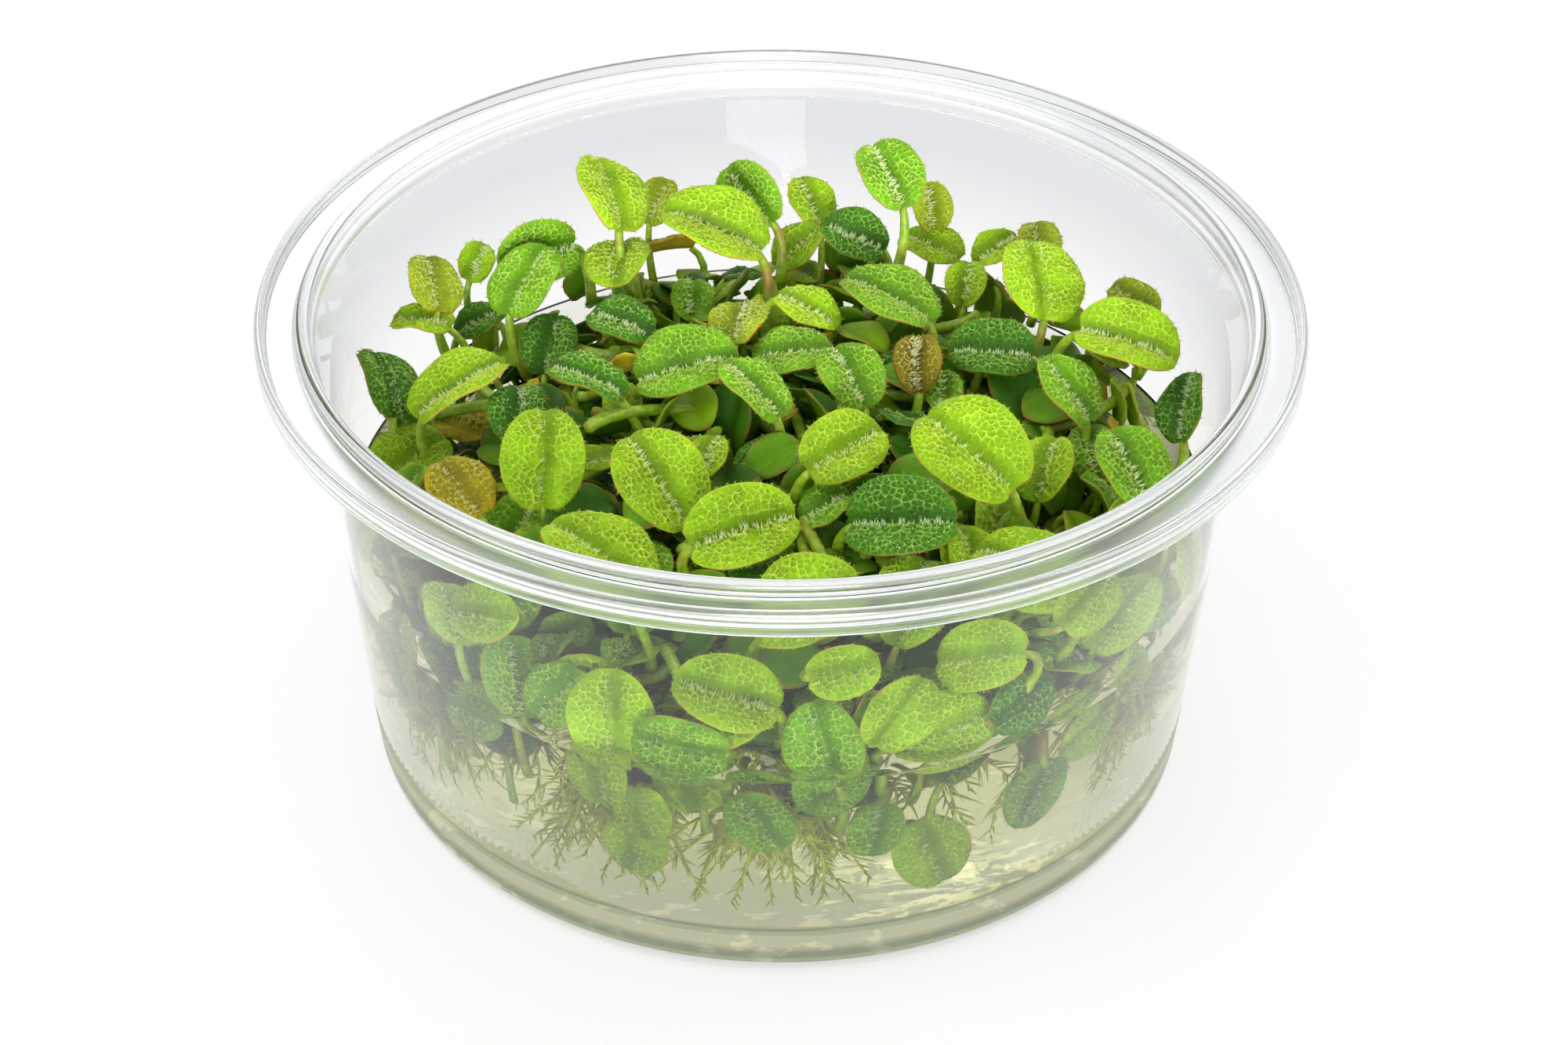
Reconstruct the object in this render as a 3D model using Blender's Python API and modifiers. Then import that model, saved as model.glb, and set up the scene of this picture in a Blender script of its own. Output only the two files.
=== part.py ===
"""Salvinia in a clear tub of water.

A round clear tub with a rolled rim holds water, and on the water lies a heap of salvinia: folded oval
leaves on short stalks, a tangle of smaller leaves and stems under them, and feathery roots that hang in
the water. Everything is held by the tub, so nothing here moves.

Metres, +Z up. The origin is the middle of the tub's flat bottom, and -Y faces the viewer.
"""

import math
from collections import namedtuple

import bmesh
import bpy
from mathutils import Euler, Matrix, Vector
from mathutils.bvhtree import BVHTree

MM = 0.001

# The tub, a turned shell
TUB_HEIGHT = 58.5 * MM
RIM_RADIUS = 58.5 * MM
NECK_RADIUS = 52.7 * MM
FOOT_RADIUS = 49.2 * MM
WALL = 0.8 * MM
FLOOR = 1.6 * MM
CORNER = 3.0 * MM
NECK_HEIGHT = 54.2 * MM
LIP_DROP = 3.0 * MM
LIP_WIDTH = 1.0 * MM
BEAD_RADIUS = 0.75 * MM
BEAD_SETBACK = 0.6 * MM
FLANGE_DROP = 1.3 * MM
TUB_SIDES = 40

# What it holds
WATER_LEVEL = 30.0 * MM
BASIN_RADIUS = 44.5 * MM
BASIN_FLOOR = 22.0 * MM
GAP = 0.3 * MM
CLEARANCE = 0.45 * MM

# A leaf's blade, with its lengths as shares of the leaf's own length
BLADE = 0.7 * MM
BLADE_ROWS = 4
BLADE_COLUMNS = 4
WIDTH_SHARE = 0.86
LOBE_SHARE = 0.10
TIP_SHARE = 0.07
PUFF_SHARE = 0.10
DROOP_SHARE = 0.05
STALK_RADIUS = 0.55 * MM
STALK_SIDES = 5
SHORTEST_STALK = 0.8 * MM
SETTLE_STEP = 0.3 * MM

# The tangle under the leaves
TANGLE_RADIUS = 43.0 * MM
TANGLE_CROWN = 47.0 * MM
TANGLE_EDGE = 37.0 * MM
TANGLE_MIDDLE = 29.0 * MM
TANGLE_BOTTOM = 23.0 * MM
TANGLE_LUMP = 0.8 * MM
TANGLE_ROOM = 0.8 * MM
PROBE_RADIUS = 30.0 * MM
PRESS_STEP = 0.5 * MM
MOST_PRESSES = 24

# One row for each leaf that shows whole. x, y, z give the middle of its blade in millimetres. heading is
# where its tip points in plan, pitch how far the tip rises, roll how far the left half rises, and fold
# how steeply the halves rise from the midrib, all in degrees.
Leaf = namedtuple("Leaf", "name x y z length heading pitch roll fold tone")
LEAVES = (
    Leaf("leaf_wall_1", -34, -30, 38, 9, 105, 35, 10, 10, "lime"),
    Leaf("leaf_wall_2", -27, -35, 33, 11, 100, 50, 0, 20, "green"),
    Leaf("leaf_wall_3", -17, -42, 33, 12, 95, 65, -10, 15, "lime"),
    Leaf("leaf_wall_4", -5, -44, 38, 12, 180, 20, -50, 25, "lime"),
    Leaf("leaf_wall_5", 5, -45, 32, 11, 120, 60, -40, 15, "green"),
    Leaf("leaf_wall_6", 17, -41, 31, 12, 20, 10, 55, 20, "lime"),
    Leaf("leaf_wall_7", 21, -39, 38, 11, 160, -15, -45, 10, "lime"),
    Leaf("leaf_wall_8", 36, -26, 36, 11, 40, 35, 30, 10, "lime"),
    Leaf("leaf_wall_9", -36, -28, 27, 11, 130, 65, 30, 15, "dark"),
    Leaf("leaf_wall_10", 27, -36, 19, 10, 240, -60, -30, 25, "green"),
    Leaf("leaf_left_1", -46, 4, 42, 11, 110, 20, 35, 15, "dark"),
    Leaf("leaf_left_2", -37, 0, 44, 13, 30, 20, -5, 25, "lime"),
    Leaf("leaf_left_3", -30, -3, 43, 9, 90, 15, 0, 20, "dark"),
    Leaf("leaf_left_4", -42, 20, 46, 9, 105, 25, 25, 10, "ochre"),
    Leaf("leaf_left_5", -31, 21, 46, 11, 60, 30, -5, 10, "green"),
    Leaf("leaf_left_6", -35, -19, 44, 9, 130, 20, -10, 10, "ochre"),
    Leaf("leaf_right_1", 47, 1, 42, 9, 75, 45, -40, 20, "dark"),
    Leaf("leaf_right_2", 33, 0, 45, 10, 135, 35, 5, 15, "green"),
    Leaf("leaf_right_3", 39, -14, 44, 11, 115, 25, -5, 25, "green"),
    Leaf("leaf_right_4", 40, 6, 46, 13, 345, -10, 20, 30, "lime"),
    Leaf("leaf_right_5", 25, 9, 44, 11, 175, 0, -20, 20, "dark"),
    Leaf("leaf_right_6", 31, 19, 48, 13, 95, 20, 15, 10, "lime"),
    Leaf("leaf_back_1", -21, 30, 53, 12, 110, 25, 25, 10, "lime"),
    Leaf("leaf_back_2", -30, 29, 45, 11, 205, 0, -50, 30, "green"),
    Leaf("leaf_back_3", -20, 24, 47, 10, 265, -5, 10, 10, "lime"),
    Leaf("leaf_back_4", -4, 35, 50, 10, 135, 30, -45, 25, "green"),
    Leaf("leaf_back_5", -8, 23, 52, 14, 170, 20, -15, 25, "green"),
    Leaf("leaf_back_6", 9, 32, 46, 9, 170, 20, -35, 25, "dark"),
    Leaf("leaf_back_7", 13, 33, 54, 11, 115, 25, -5, 25, "green"),
    Leaf("leaf_back_8", 13, 16, 47, 13, 155, 15, 0, 15, "green"),
    Leaf("leaf_middle_1", -19, 13, 45, 9, 150, 5, -10, 20, "dark"),
    Leaf("leaf_middle_2", -11, 2, 46, 13, 5, 15, 20, 25, "green"),
    Leaf("leaf_middle_3", -5, 12, 46, 9, 80, 5, -10, 15, "ochre"),
    Leaf("leaf_middle_4", 3, 15, 46, 9, 335, -15, 0, 15, "lime"),
    Leaf("leaf_middle_5", 1, 7, 45, 10, 355, 10, 10, 10, "green"),
    Leaf("leaf_middle_6", 16, 5, 45, 8, 90, 30, -5, 30, "rust"),
    Leaf("leaf_middle_7", -22, -2, 45, 10, 165, 15, 5, 20, "dark"),
    Leaf("leaf_middle_8", -3, -4, 46, 10, 140, 25, 10, 15, "green"),
    Leaf("leaf_middle_9", 8, 1, 44, 10, 115, 20, -5, 20, "green"),
    Leaf("leaf_front_1", -26, -16, 45, 12, 90, 45, 0, 15, "lime"),
    Leaf("leaf_front_2", -13, -20, 46, 13, 130, 30, -15, 20, "lime"),
    Leaf("leaf_front_3", 7, -14, 46, 11, 35, 10, 25, 20, "lime"),
    Leaf("leaf_front_4", 21, -17, 48, 15, 135, 15, -20, 20, "lime"),
    Leaf("leaf_front_5", -19, -31, 44, 14, 145, 15, 5, 15, "lime"),
    Leaf("leaf_front_6", -4, -29, 46, 13, 15, 10, 35, 30, "lime"),
    Leaf("leaf_front_7", 13, -26, 45, 13, 350, 10, 30, 25, "dark"),
    Leaf("leaf_front_8", 3, -38, 44, 12, 10, 15, 20, 25, "lime"),
    Leaf("leaf_front_9", 26, -31, 43, 12, 145, 0, -10, 20, "lime"),
)

# Each tuft of roots: where it leaves the tangle, how far and which way its end drifts, where the end
# hangs, and its greatest radius, in millimetres.
Root = namedtuple("Root", "name x y end_x end_y end_z radius")
ROOTS = (
    Root("roots_left", -32, -15, -37, -20, 12, 4.5),
    Root("roots_front_left", -15, -27, -20, -33, 9, 6),
    Root("roots_front", 2, -29, -2, -36, 8, 6.5),
    Root("roots_right", 31, -12, 37, -16, 13, 5),
    Root("roots_back", -4, 22, -8, 30, 9, 6),
)

# Base colour, roughness and transmission of each material
FINISHES = {
    "clear_tub": ((0.90, 0.92, 0.93, 1), 0.12, 0.95),
    "water": ((0.80, 0.84, 0.74, 1), 0.05, 0.95),
    "tangle": ((0.10, 0.22, 0.03, 1), 0.6, 0.0),
    "roots": ((0.42, 0.45, 0.12, 1), 0.8, 0.0),
    "lime": ((0.32, 0.52, 0.04, 1), 0.5, 0.0),
    "green": ((0.14, 0.36, 0.03, 1), 0.5, 0.0),
    "dark": ((0.05, 0.16, 0.02, 1), 0.5, 0.0),
    "ochre": ((0.55, 0.42, 0.04, 1), 0.5, 0.0),
    "rust": ((0.30, 0.12, 0.05, 1), 0.6, 0.0),
}


def clear_scene():
    for obj in list(bpy.data.objects):
        bpy.data.objects.remove(obj, do_unlink=True)


def new_collection(name):
    collection = bpy.data.collections.new(name)
    bpy.context.scene.collection.children.link(collection)
    return collection


def new_material(name):
    colour, roughness, transmission = FINISHES[name]
    material = bpy.data.materials.new(name)
    material.use_nodes = True
    shader = material.node_tree.nodes["Principled BSDF"]
    shader.inputs["Base Color"].default_value = colour
    shader.inputs["Roughness"].default_value = roughness
    shader.inputs["Metallic"].default_value = 0.0
    shader.inputs["Transmission Weight"].default_value = transmission
    return material


def object_from(bm, name, collection, material=None):
    mesh = bpy.data.meshes.new(name)
    bm.to_mesh(mesh)
    bm.free()
    mesh.shade_smooth()
    obj = bpy.data.objects.new(name, mesh)
    if material:
        mesh.materials.append(material)
    collection.objects.link(obj)
    return obj


def hide_as_tool(obj):
    obj.hide_render = True
    obj.display_type = "WIRE"


def turned(name, profile, sides, collection, material):
    """A solid turned about Z from (radius, height) points that start and end on the axis."""
    bm = bmesh.new()
    points = [bm.verts.new((radius, 0, height)) for radius, height in profile]
    for first, second in zip(points, points[1:]):
        bm.edges.new((first, second))
    obj = object_from(bm, name, collection, material)
    screw = obj.modifiers.new("turn", "SCREW")
    screw.steps = screw.render_steps = sides
    screw.use_merge_vertices = True
    screw.merge_threshold = 0.00001
    return obj


def arc(middle, radius, start, end, steps):
    """Points on a circle in the profile plane, from one angle to the other in degrees."""
    turns = [math.radians(start + (end - start) * i / steps) for i in range(steps + 1)]
    return [(middle[0] + radius * math.cos(a), middle[1] + radius * math.sin(a)) for a in turns]


def wall_radius(height):
    """The tub's outer radius at a height between its foot and its neck."""
    return FOOT_RADIUS + (NECK_RADIUS - FOOT_RADIUS) * height / NECK_HEIGHT


def bore_radius(height):
    return wall_radius(height) - WALL


def make_tub(collection):
    """The shell: floor, tapered wall, an inner bead, a groove and an outer lip that turns down."""
    inner_corner = CORNER - WALL
    bead_middle = (NECK_RADIUS + BEAD_SETBACK, TUB_HEIGHT - BEAD_RADIUS)
    groove = TUB_HEIGHT - FLANGE_DROP
    flange_under = groove - WALL
    lip_inside = RIM_RADIUS - LIP_WIDTH
    lip_foot = TUB_HEIGHT - LIP_DROP
    inside = [(0, FLOOR)]
    inside += arc((bore_radius(FLOOR) - inner_corner, FLOOR + inner_corner), inner_corner, 270, 360, 2)
    inside.append((bore_radius(NECK_HEIGHT), NECK_HEIGHT + WALL))
    rim = arc(bead_middle, BEAD_RADIUS, 180, 0, 4)
    rim.append((bead_middle[0] + 2 * BEAD_RADIUS, groove))
    rim.append((lip_inside - 0.6 * MM, groove))
    rim.append((lip_inside, TUB_HEIGHT - 0.2 * MM))
    rim.append((RIM_RADIUS, TUB_HEIGHT - 0.5 * MM))
    rim.append((RIM_RADIUS, lip_foot))
    rim.append((RIM_RADIUS - WALL, lip_foot))
    rim.append((lip_inside - WALL, flange_under))
    rim.append((NECK_RADIUS + 1.4 * MM, flange_under))
    outside = [(NECK_RADIUS + 0.5 * MM, NECK_HEIGHT + 0.4 * MM), (NECK_RADIUS, NECK_HEIGHT)]
    outside += arc((wall_radius(CORNER) - CORNER, CORNER), CORNER, 0, -90, 3)
    outside.append((0, 0))
    return turned("tub", inside + rim + outside, TUB_SIDES, collection, new_material("clear_tub"))


def blade_point(leaf, along, across):
    """A point of the blade in the leaf's own frame: tip at +X, left half at +Y, the fold opening to +Z.

    along runs from 0 at the stalk to 1 at the tip, and across from -1 to 1 with the midrib at 0.
    """
    length = leaf.length * MM
    side = abs(across)
    half = WIDTH_SHARE * length / 2 * math.sqrt(1 - ((along - 0.45) / 0.62) ** 2)
    lobe = LOBE_SHARE * length * math.sin(math.pi * side) * (1 - along) ** 2
    tip = TIP_SHARE * length * (1 - side * side) * along ** 2
    fold = math.radians(leaf.fold)
    rise = half * (side * math.sin(fold) + PUFF_SHARE * math.sin(math.pi * side))
    droop = DROOP_SHARE * length * (2 * along - 1) ** 2
    x = length * (0.86 * along - 0.43) - lobe + tip
    return Vector((x, half * across * math.cos(fold), rise - droop))


def leaf_matrix(leaf):
    turn = Euler((math.radians(leaf.roll), -math.radians(leaf.pitch), math.radians(leaf.heading)), "XYZ")
    return Matrix.LocRotScale(Vector((leaf.x, leaf.y, leaf.z)) * MM, turn, None)


def make_blade(leaf, collection, materials):
    """A folded sheet with two puffed halves, a notch at the stalk and a rounded tip."""
    bm = bmesh.new()
    bmesh.ops.create_grid(bm, x_segments=BLADE_ROWS, y_segments=BLADE_COLUMNS, size=1)
    for vertex in bm.verts:
        vertex.co = blade_point(leaf, (vertex.co.x + 1) / 2, vertex.co.y)
    obj = object_from(bm, leaf.name, collection, materials[leaf.tone])
    obj.matrix_world = leaf_matrix(leaf)
    skin = obj.modifiers.new("blade", "SOLIDIFY")
    skin.thickness = BLADE
    skin.offset = 0
    return obj


def world_shape(obj):
    """The object's evaluated corners in world space, and its faces."""
    bpy.context.view_layer.update()
    evaluated = obj.evaluated_get(bpy.context.evaluated_depsgraph_get())
    mesh = evaluated.to_mesh()
    corners = [obj.matrix_world @ vertex.co for vertex in mesh.vertices]
    faces = [tuple(face.vertices) for face in mesh.polygons]
    evaluated.to_mesh_clear()
    return corners, faces


def padded_tree(obj):
    """A tree of the blade with clearance added on both faces."""
    skin = obj.modifiers["blade"]
    skin.thickness = BLADE + 2 * CLEARANCE
    tree = BVHTree.FromPolygons(*world_shape(obj))
    skin.thickness = BLADE
    return tree


def settle(obj, below):
    """Lifts a blade in small steps until it clears the ones already laid, and gives its padded tree."""
    tree = padded_tree(obj)
    while any(tree.overlap(other) for other in below):
        obj.location.z += SETTLE_STEP
        tree = padded_tree(obj)
    return tree


def tangle_surface(direction):
    """Where the tangle's skin lies along a direction of the unit sphere, before the leaves press it."""
    spread = math.hypot(direction.x, direction.y)
    angle = math.atan2(direction.y, direction.x)
    out = math.sin(math.pi / 2 * spread ** 0.85)
    lumps = TANGLE_LUMP * (math.sin(5 * angle + 1) + math.sin(8 * angle + 9 * spread))
    x = TANGLE_RADIUS * out * math.cos(angle)
    y = TANGLE_RADIUS * out * math.sin(angle)
    if direction.z >= 0:
        height = TANGLE_EDGE + (TANGLE_CROWN - TANGLE_EDGE) * (1 - out ** 3)
        height = TANGLE_MIDDLE + (height - TANGLE_MIDDLE) * min(1, direction.z * 2.2)
        return Vector((x, y, height + lumps * direction.z))
    depth = (TANGLE_MIDDLE - TANGLE_BOTTOM) * min(1, -direction.z * 2)
    return Vector((x, y, TANGLE_MIDDLE - depth))


def first_hit(trees, start, direction):
    """How far the nearest of the trees is along a ray, or None."""
    hits = [tree.ray_cast(start, direction)[3] for tree in trees]
    hits = [distance for distance in hits if distance is not None]
    return min(hits) if hits else None


def press_tangle(vertex, trees):
    """Keeps one point of the tangle inside the leaves that lean on its side and lie on its top."""
    axis = Vector((0, 0, vertex.co.z))
    radius = (vertex.co - axis).length
    if radius > PROBE_RADIUS:
        outward = (vertex.co - axis) / radius
        reach = first_hit(trees, axis + outward * PROBE_RADIUS, outward)
        if reach is not None:
            vertex.co = axis + outward * min(radius, PROBE_RADIUS + reach - TANGLE_ROOM)
    if vertex.co.z <= TANGLE_MIDDLE:
        return
    start = Vector((vertex.co.x, vertex.co.y, TANGLE_MIDDLE))
    above = first_hit(trees, start, Vector((0, 0, 1)))
    if above is not None:
        vertex.co.z = min(vertex.co.z, start.z + max(above - TANGLE_ROOM, 0))


def make_tangle(collection, trees):
    """The heap of small leaves and stems: a flattened ball, pulled in wherever a leaf lies against it."""
    bm = bmesh.new()
    bmesh.ops.create_icosphere(bm, subdivisions=4, radius=1)
    for vertex in bm.verts:
        vertex.co = tangle_surface(vertex.co.normalized())
    heart = Vector((0, 0, TANGLE_MIDDLE))
    for vertex in bm.verts:
        press_tangle(vertex, trees)
    for _ in range(MOST_PRESSES):
        skin = BVHTree.FromBMesh(bm)
        touched = {face for tree in trees for face, _other in skin.overlap(tree)}
        if not touched:
            break
        bm.faces.ensure_lookup_table()
        for vertex in {vertex for index in touched for vertex in bm.faces[index].verts}:
            vertex.co += (heart - vertex.co).normalized() * PRESS_STEP
    return object_from(bm, "tangle", collection, new_material("tangle"))


def stalk_reach(start, direction, trees):
    """How far a stalk can run before it meets the tangle or another leaf."""
    aside = direction.orthogonal().normalized() * STALK_RADIUS * 1.3
    other = direction.cross(aside)
    starts = [start, start + aside, start - aside, start + other, start - other]
    hits = [first_hit(trees, point, direction) for point in starts]
    hits = [distance for distance in hits if distance is not None]
    return min(hits) if hits else None


def add_stalk(obj, leaf, trees, tools):
    """A short stalk, fused to the blade, that runs down and back to what lies under the leaf."""
    base = obj.matrix_world @ blade_point(leaf, 0.06, 0)
    back = obj.matrix_world.to_3x3() @ Vector((-1, 0, 0))
    inward = Vector((-base.x, -base.y, 0)).normalized()
    options = [Vector((0, 0, -1)) + back * 0.4, Vector((0, 0, -1)), inward + Vector((0, 0, -0.4)), inward]
    reaches = [(stalk_reach(base, way.normalized(), trees), way.normalized()) for way in options]
    reaches = [(reach, way) for reach, way in reaches if reach is not None]
    if not reaches:
        return
    reach, way = min(reaches, key=lambda pair: pair[0])
    length = reach - CLEARANCE
    if length < SHORTEST_STALK:
        return
    bm = bmesh.new()
    bmesh.ops.create_cone(
        bm,
        cap_ends=True,
        segments=STALK_SIDES,
        radius1=STALK_RADIUS,
        radius2=STALK_RADIUS * 1.25,
        depth=length,
    )
    stalk = object_from(bm, leaf.name + "_stalk", tools)
    stalk.matrix_world = Matrix.LocRotScale(base + way * length / 2, way.to_track_quat("Z", "Y"), None)
    hide_as_tool(stalk)
    union = obj.modifiers.new("stalk", "BOOLEAN")
    union.operation = "UNION"
    union.object = stalk


def make_root(root, collection, material, tangle_tree):
    """A tuft of roots: a drooping tapered body whose top is just under the tangle."""
    top = Vector((root.x, root.y, 0)) * MM
    reach = tangle_tree.ray_cast(top, Vector((0, 0, 1)))[3]
    top.z = reach - root.radius * 0.25 * MM
    end = Vector((root.end_x, root.end_y, root.end_z)) * MM
    swell = (0.45, 0.85, 1.0, 0.8, 0.25)
    curve = bpy.data.curves.new(root.name, "CURVE")
    curve.dimensions = "3D"
    curve.bevel_depth = root.radius * MM
    curve.bevel_resolution = 2
    curve.use_fill_caps = True
    spline = curve.splines.new("POLY")
    spline.points.add(len(swell) - 1)
    for i, (point, share) in enumerate(zip(spline.points, swell)):
        along = i / (len(swell) - 1)
        place = top.lerp(end, along)
        drift = (end - top) * 0.25 * math.sin(math.pi * along)
        point.co = (place.x - drift.x, place.y - drift.y, place.z, 1)
        point.radius = share
    curve.materials.append(material)
    obj = bpy.data.objects.new(root.name, curve)
    collection.objects.link(obj)
    return obj


def water_profile():
    """The water against the tub's wall and floor, with a basin that the tangle lies in."""
    side = bore_radius(0) - GAP
    slope = (NECK_RADIUS - FOOT_RADIUS) / NECK_HEIGHT
    bottom = FLOOR + GAP
    return [
        (0, BASIN_FLOOR),
        (BASIN_RADIUS, BASIN_FLOOR),
        (BASIN_RADIUS, WATER_LEVEL),
        (side + slope * WATER_LEVEL, WATER_LEVEL),
        (side + slope * CORNER, bottom + CORNER),
        (side - CORNER, bottom),
        (0, bottom),
    ]


def cut_pocket(water, obj, outer_side, tools):
    """An upright pocket in the water, open at the top, round a leaf or a tuft of roots that dips into it.

    outer_side is where the pocket ends towards the tub's wall, or None to end it just past the piece.
    """
    corners, _faces = world_shape(obj)
    middle = sum(corners, Vector()) / len(corners)
    bearing = math.atan2(middle.y, middle.x)
    outward = Vector((math.cos(bearing), math.sin(bearing), 0))
    tangent = Vector((-outward.y, outward.x, 0))
    room = 2 * CLEARANCE
    near, far = span_along(corners, outward, room)
    far = outer_side or far
    left, right = span_along(corners, tangent, room)
    low = min(corner.z for corner in corners) - room
    high = WATER_LEVEL + room
    place = outward * (near + far) / 2 + tangent * (left + right) / 2
    place.z = (low + high) / 2
    bm = bmesh.new()
    bmesh.ops.create_cube(bm, size=1)
    pocket = object_from(bm, obj.name + "_pocket", tools)
    size = Vector((far - near, right - left, high - low))
    pocket.matrix_world = Matrix.LocRotScale(place, Euler((0, 0, bearing)), size)
    hide_as_tool(pocket)
    cut = water.modifiers.new(obj.name, "BOOLEAN")
    cut.operation = "DIFFERENCE"
    cut.object = pocket


def span_along(corners, axis, room):
    """The lowest and highest reach of the corners along an axis, with room added."""
    reaches = [corner.dot(axis) for corner in corners]
    return min(reaches) - room, max(reaches) + room


def build():
    clear_scene()
    parts = new_collection("Salvinia tub")
    tools = new_collection("Cutters and joined stalks")
    tones = {leaf.tone for leaf in LEAVES}
    materials = {tone: new_material(tone) for tone in sorted(tones)}
    make_tub(parts)
    water = turned("water", water_profile(), TUB_SIDES, parts, new_material("water"))
    blades = {}
    trees = {}
    for leaf in LEAVES:
        blades[leaf.name] = make_blade(leaf, parts, materials)
        trees[leaf.name] = settle(blades[leaf.name], list(trees.values()))
    tangle = make_tangle(parts, list(trees.values()))
    tangle_tree = BVHTree.FromPolygons(*world_shape(tangle))
    for leaf in LEAVES:
        others = [tree for name, tree in trees.items() if name != leaf.name]
        add_stalk(blades[leaf.name], leaf, others + [tangle_tree], tools)
    for blade in blades.values():
        if min(corner.z for corner in world_shape(blade)[0]) < WATER_LEVEL + CLEARANCE:
            cut_pocket(water, blade, NECK_RADIUS, tools)
    root_material = new_material("roots")
    for root in ROOTS:
        tuft = make_root(root, parts, root_material, tangle_tree)
        cut_pocket(water, tuft, None, tools)


build()
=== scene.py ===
"""The looks of a tub of salvinia: clear tub, water, leaves with their net of ridges and bristles, stems and
feathery roots, on a plain pale floor in soft light. Metres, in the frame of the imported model."""
import math
from collections import namedtuple

import bpy
import numpy as np
from mathutils import Euler, Matrix, Vector
from mathutils.bvhtree import BVHTree
from mathutils.geometry import delaunay_2d_cdt


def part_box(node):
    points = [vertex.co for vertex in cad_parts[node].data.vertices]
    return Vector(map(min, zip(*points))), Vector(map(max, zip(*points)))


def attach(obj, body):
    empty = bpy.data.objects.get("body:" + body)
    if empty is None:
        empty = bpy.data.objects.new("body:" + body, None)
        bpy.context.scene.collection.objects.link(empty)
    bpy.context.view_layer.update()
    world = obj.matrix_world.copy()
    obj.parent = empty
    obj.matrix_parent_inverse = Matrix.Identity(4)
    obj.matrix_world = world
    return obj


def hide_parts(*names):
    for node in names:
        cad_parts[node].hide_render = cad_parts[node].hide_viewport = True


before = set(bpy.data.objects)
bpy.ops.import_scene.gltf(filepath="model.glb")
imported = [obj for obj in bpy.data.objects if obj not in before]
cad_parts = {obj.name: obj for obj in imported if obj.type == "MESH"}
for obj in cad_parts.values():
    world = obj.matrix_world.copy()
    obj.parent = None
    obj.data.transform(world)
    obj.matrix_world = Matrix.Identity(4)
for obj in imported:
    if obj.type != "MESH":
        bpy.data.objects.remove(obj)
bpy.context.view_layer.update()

MM = 0.001
SEED = 7
# How far the pale floor stands in the base's plastic
CONTACT = 0.02 * MM

# The tub and the water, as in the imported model
TUB_HEIGHT = 58.5 * MM
RIM_RADIUS = 58.5 * MM
NECK_RADIUS = 52.7 * MM
FOOT_RADIUS = 49.2 * MM
WALL = 0.8 * MM
FLOOR = 1.6 * MM
NECK_HEIGHT = 54.2 * MM
WATER_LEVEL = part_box("water")[1][2]

# The foot's outer corner and the height of its groove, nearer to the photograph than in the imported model
CORNER = 2.0 * MM
STEP_LINE = 7.1 * MM

TUB_SEGMENTS = 240
# Rings on the water's surface that keep its faces short, in millimetres
WATER_RINGS = (12, 24, 36, 44, 47)
# How far the water reaches into the wall's and the floor's inner faces
WATER_LAP = 0.25 * MM

# The blade of a leaf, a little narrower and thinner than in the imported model. The shares are of its length,
# but the puff's is of its half width
WIDTH_SHARE = 0.82
LOBE_SHARE = 0.10
TIP_SHARE = 0.07
PUFF_SHARE = 0.10
DROOP_SHARE = 0.05
BLADE = 0.45 * MM
EDGE_WAVE = 0.3 * MM
SHEET_STEPS = 4
# About how far the top of a packed blade stands above its middle sheet
PACKED_RISE = 0.3 * MM

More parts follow.
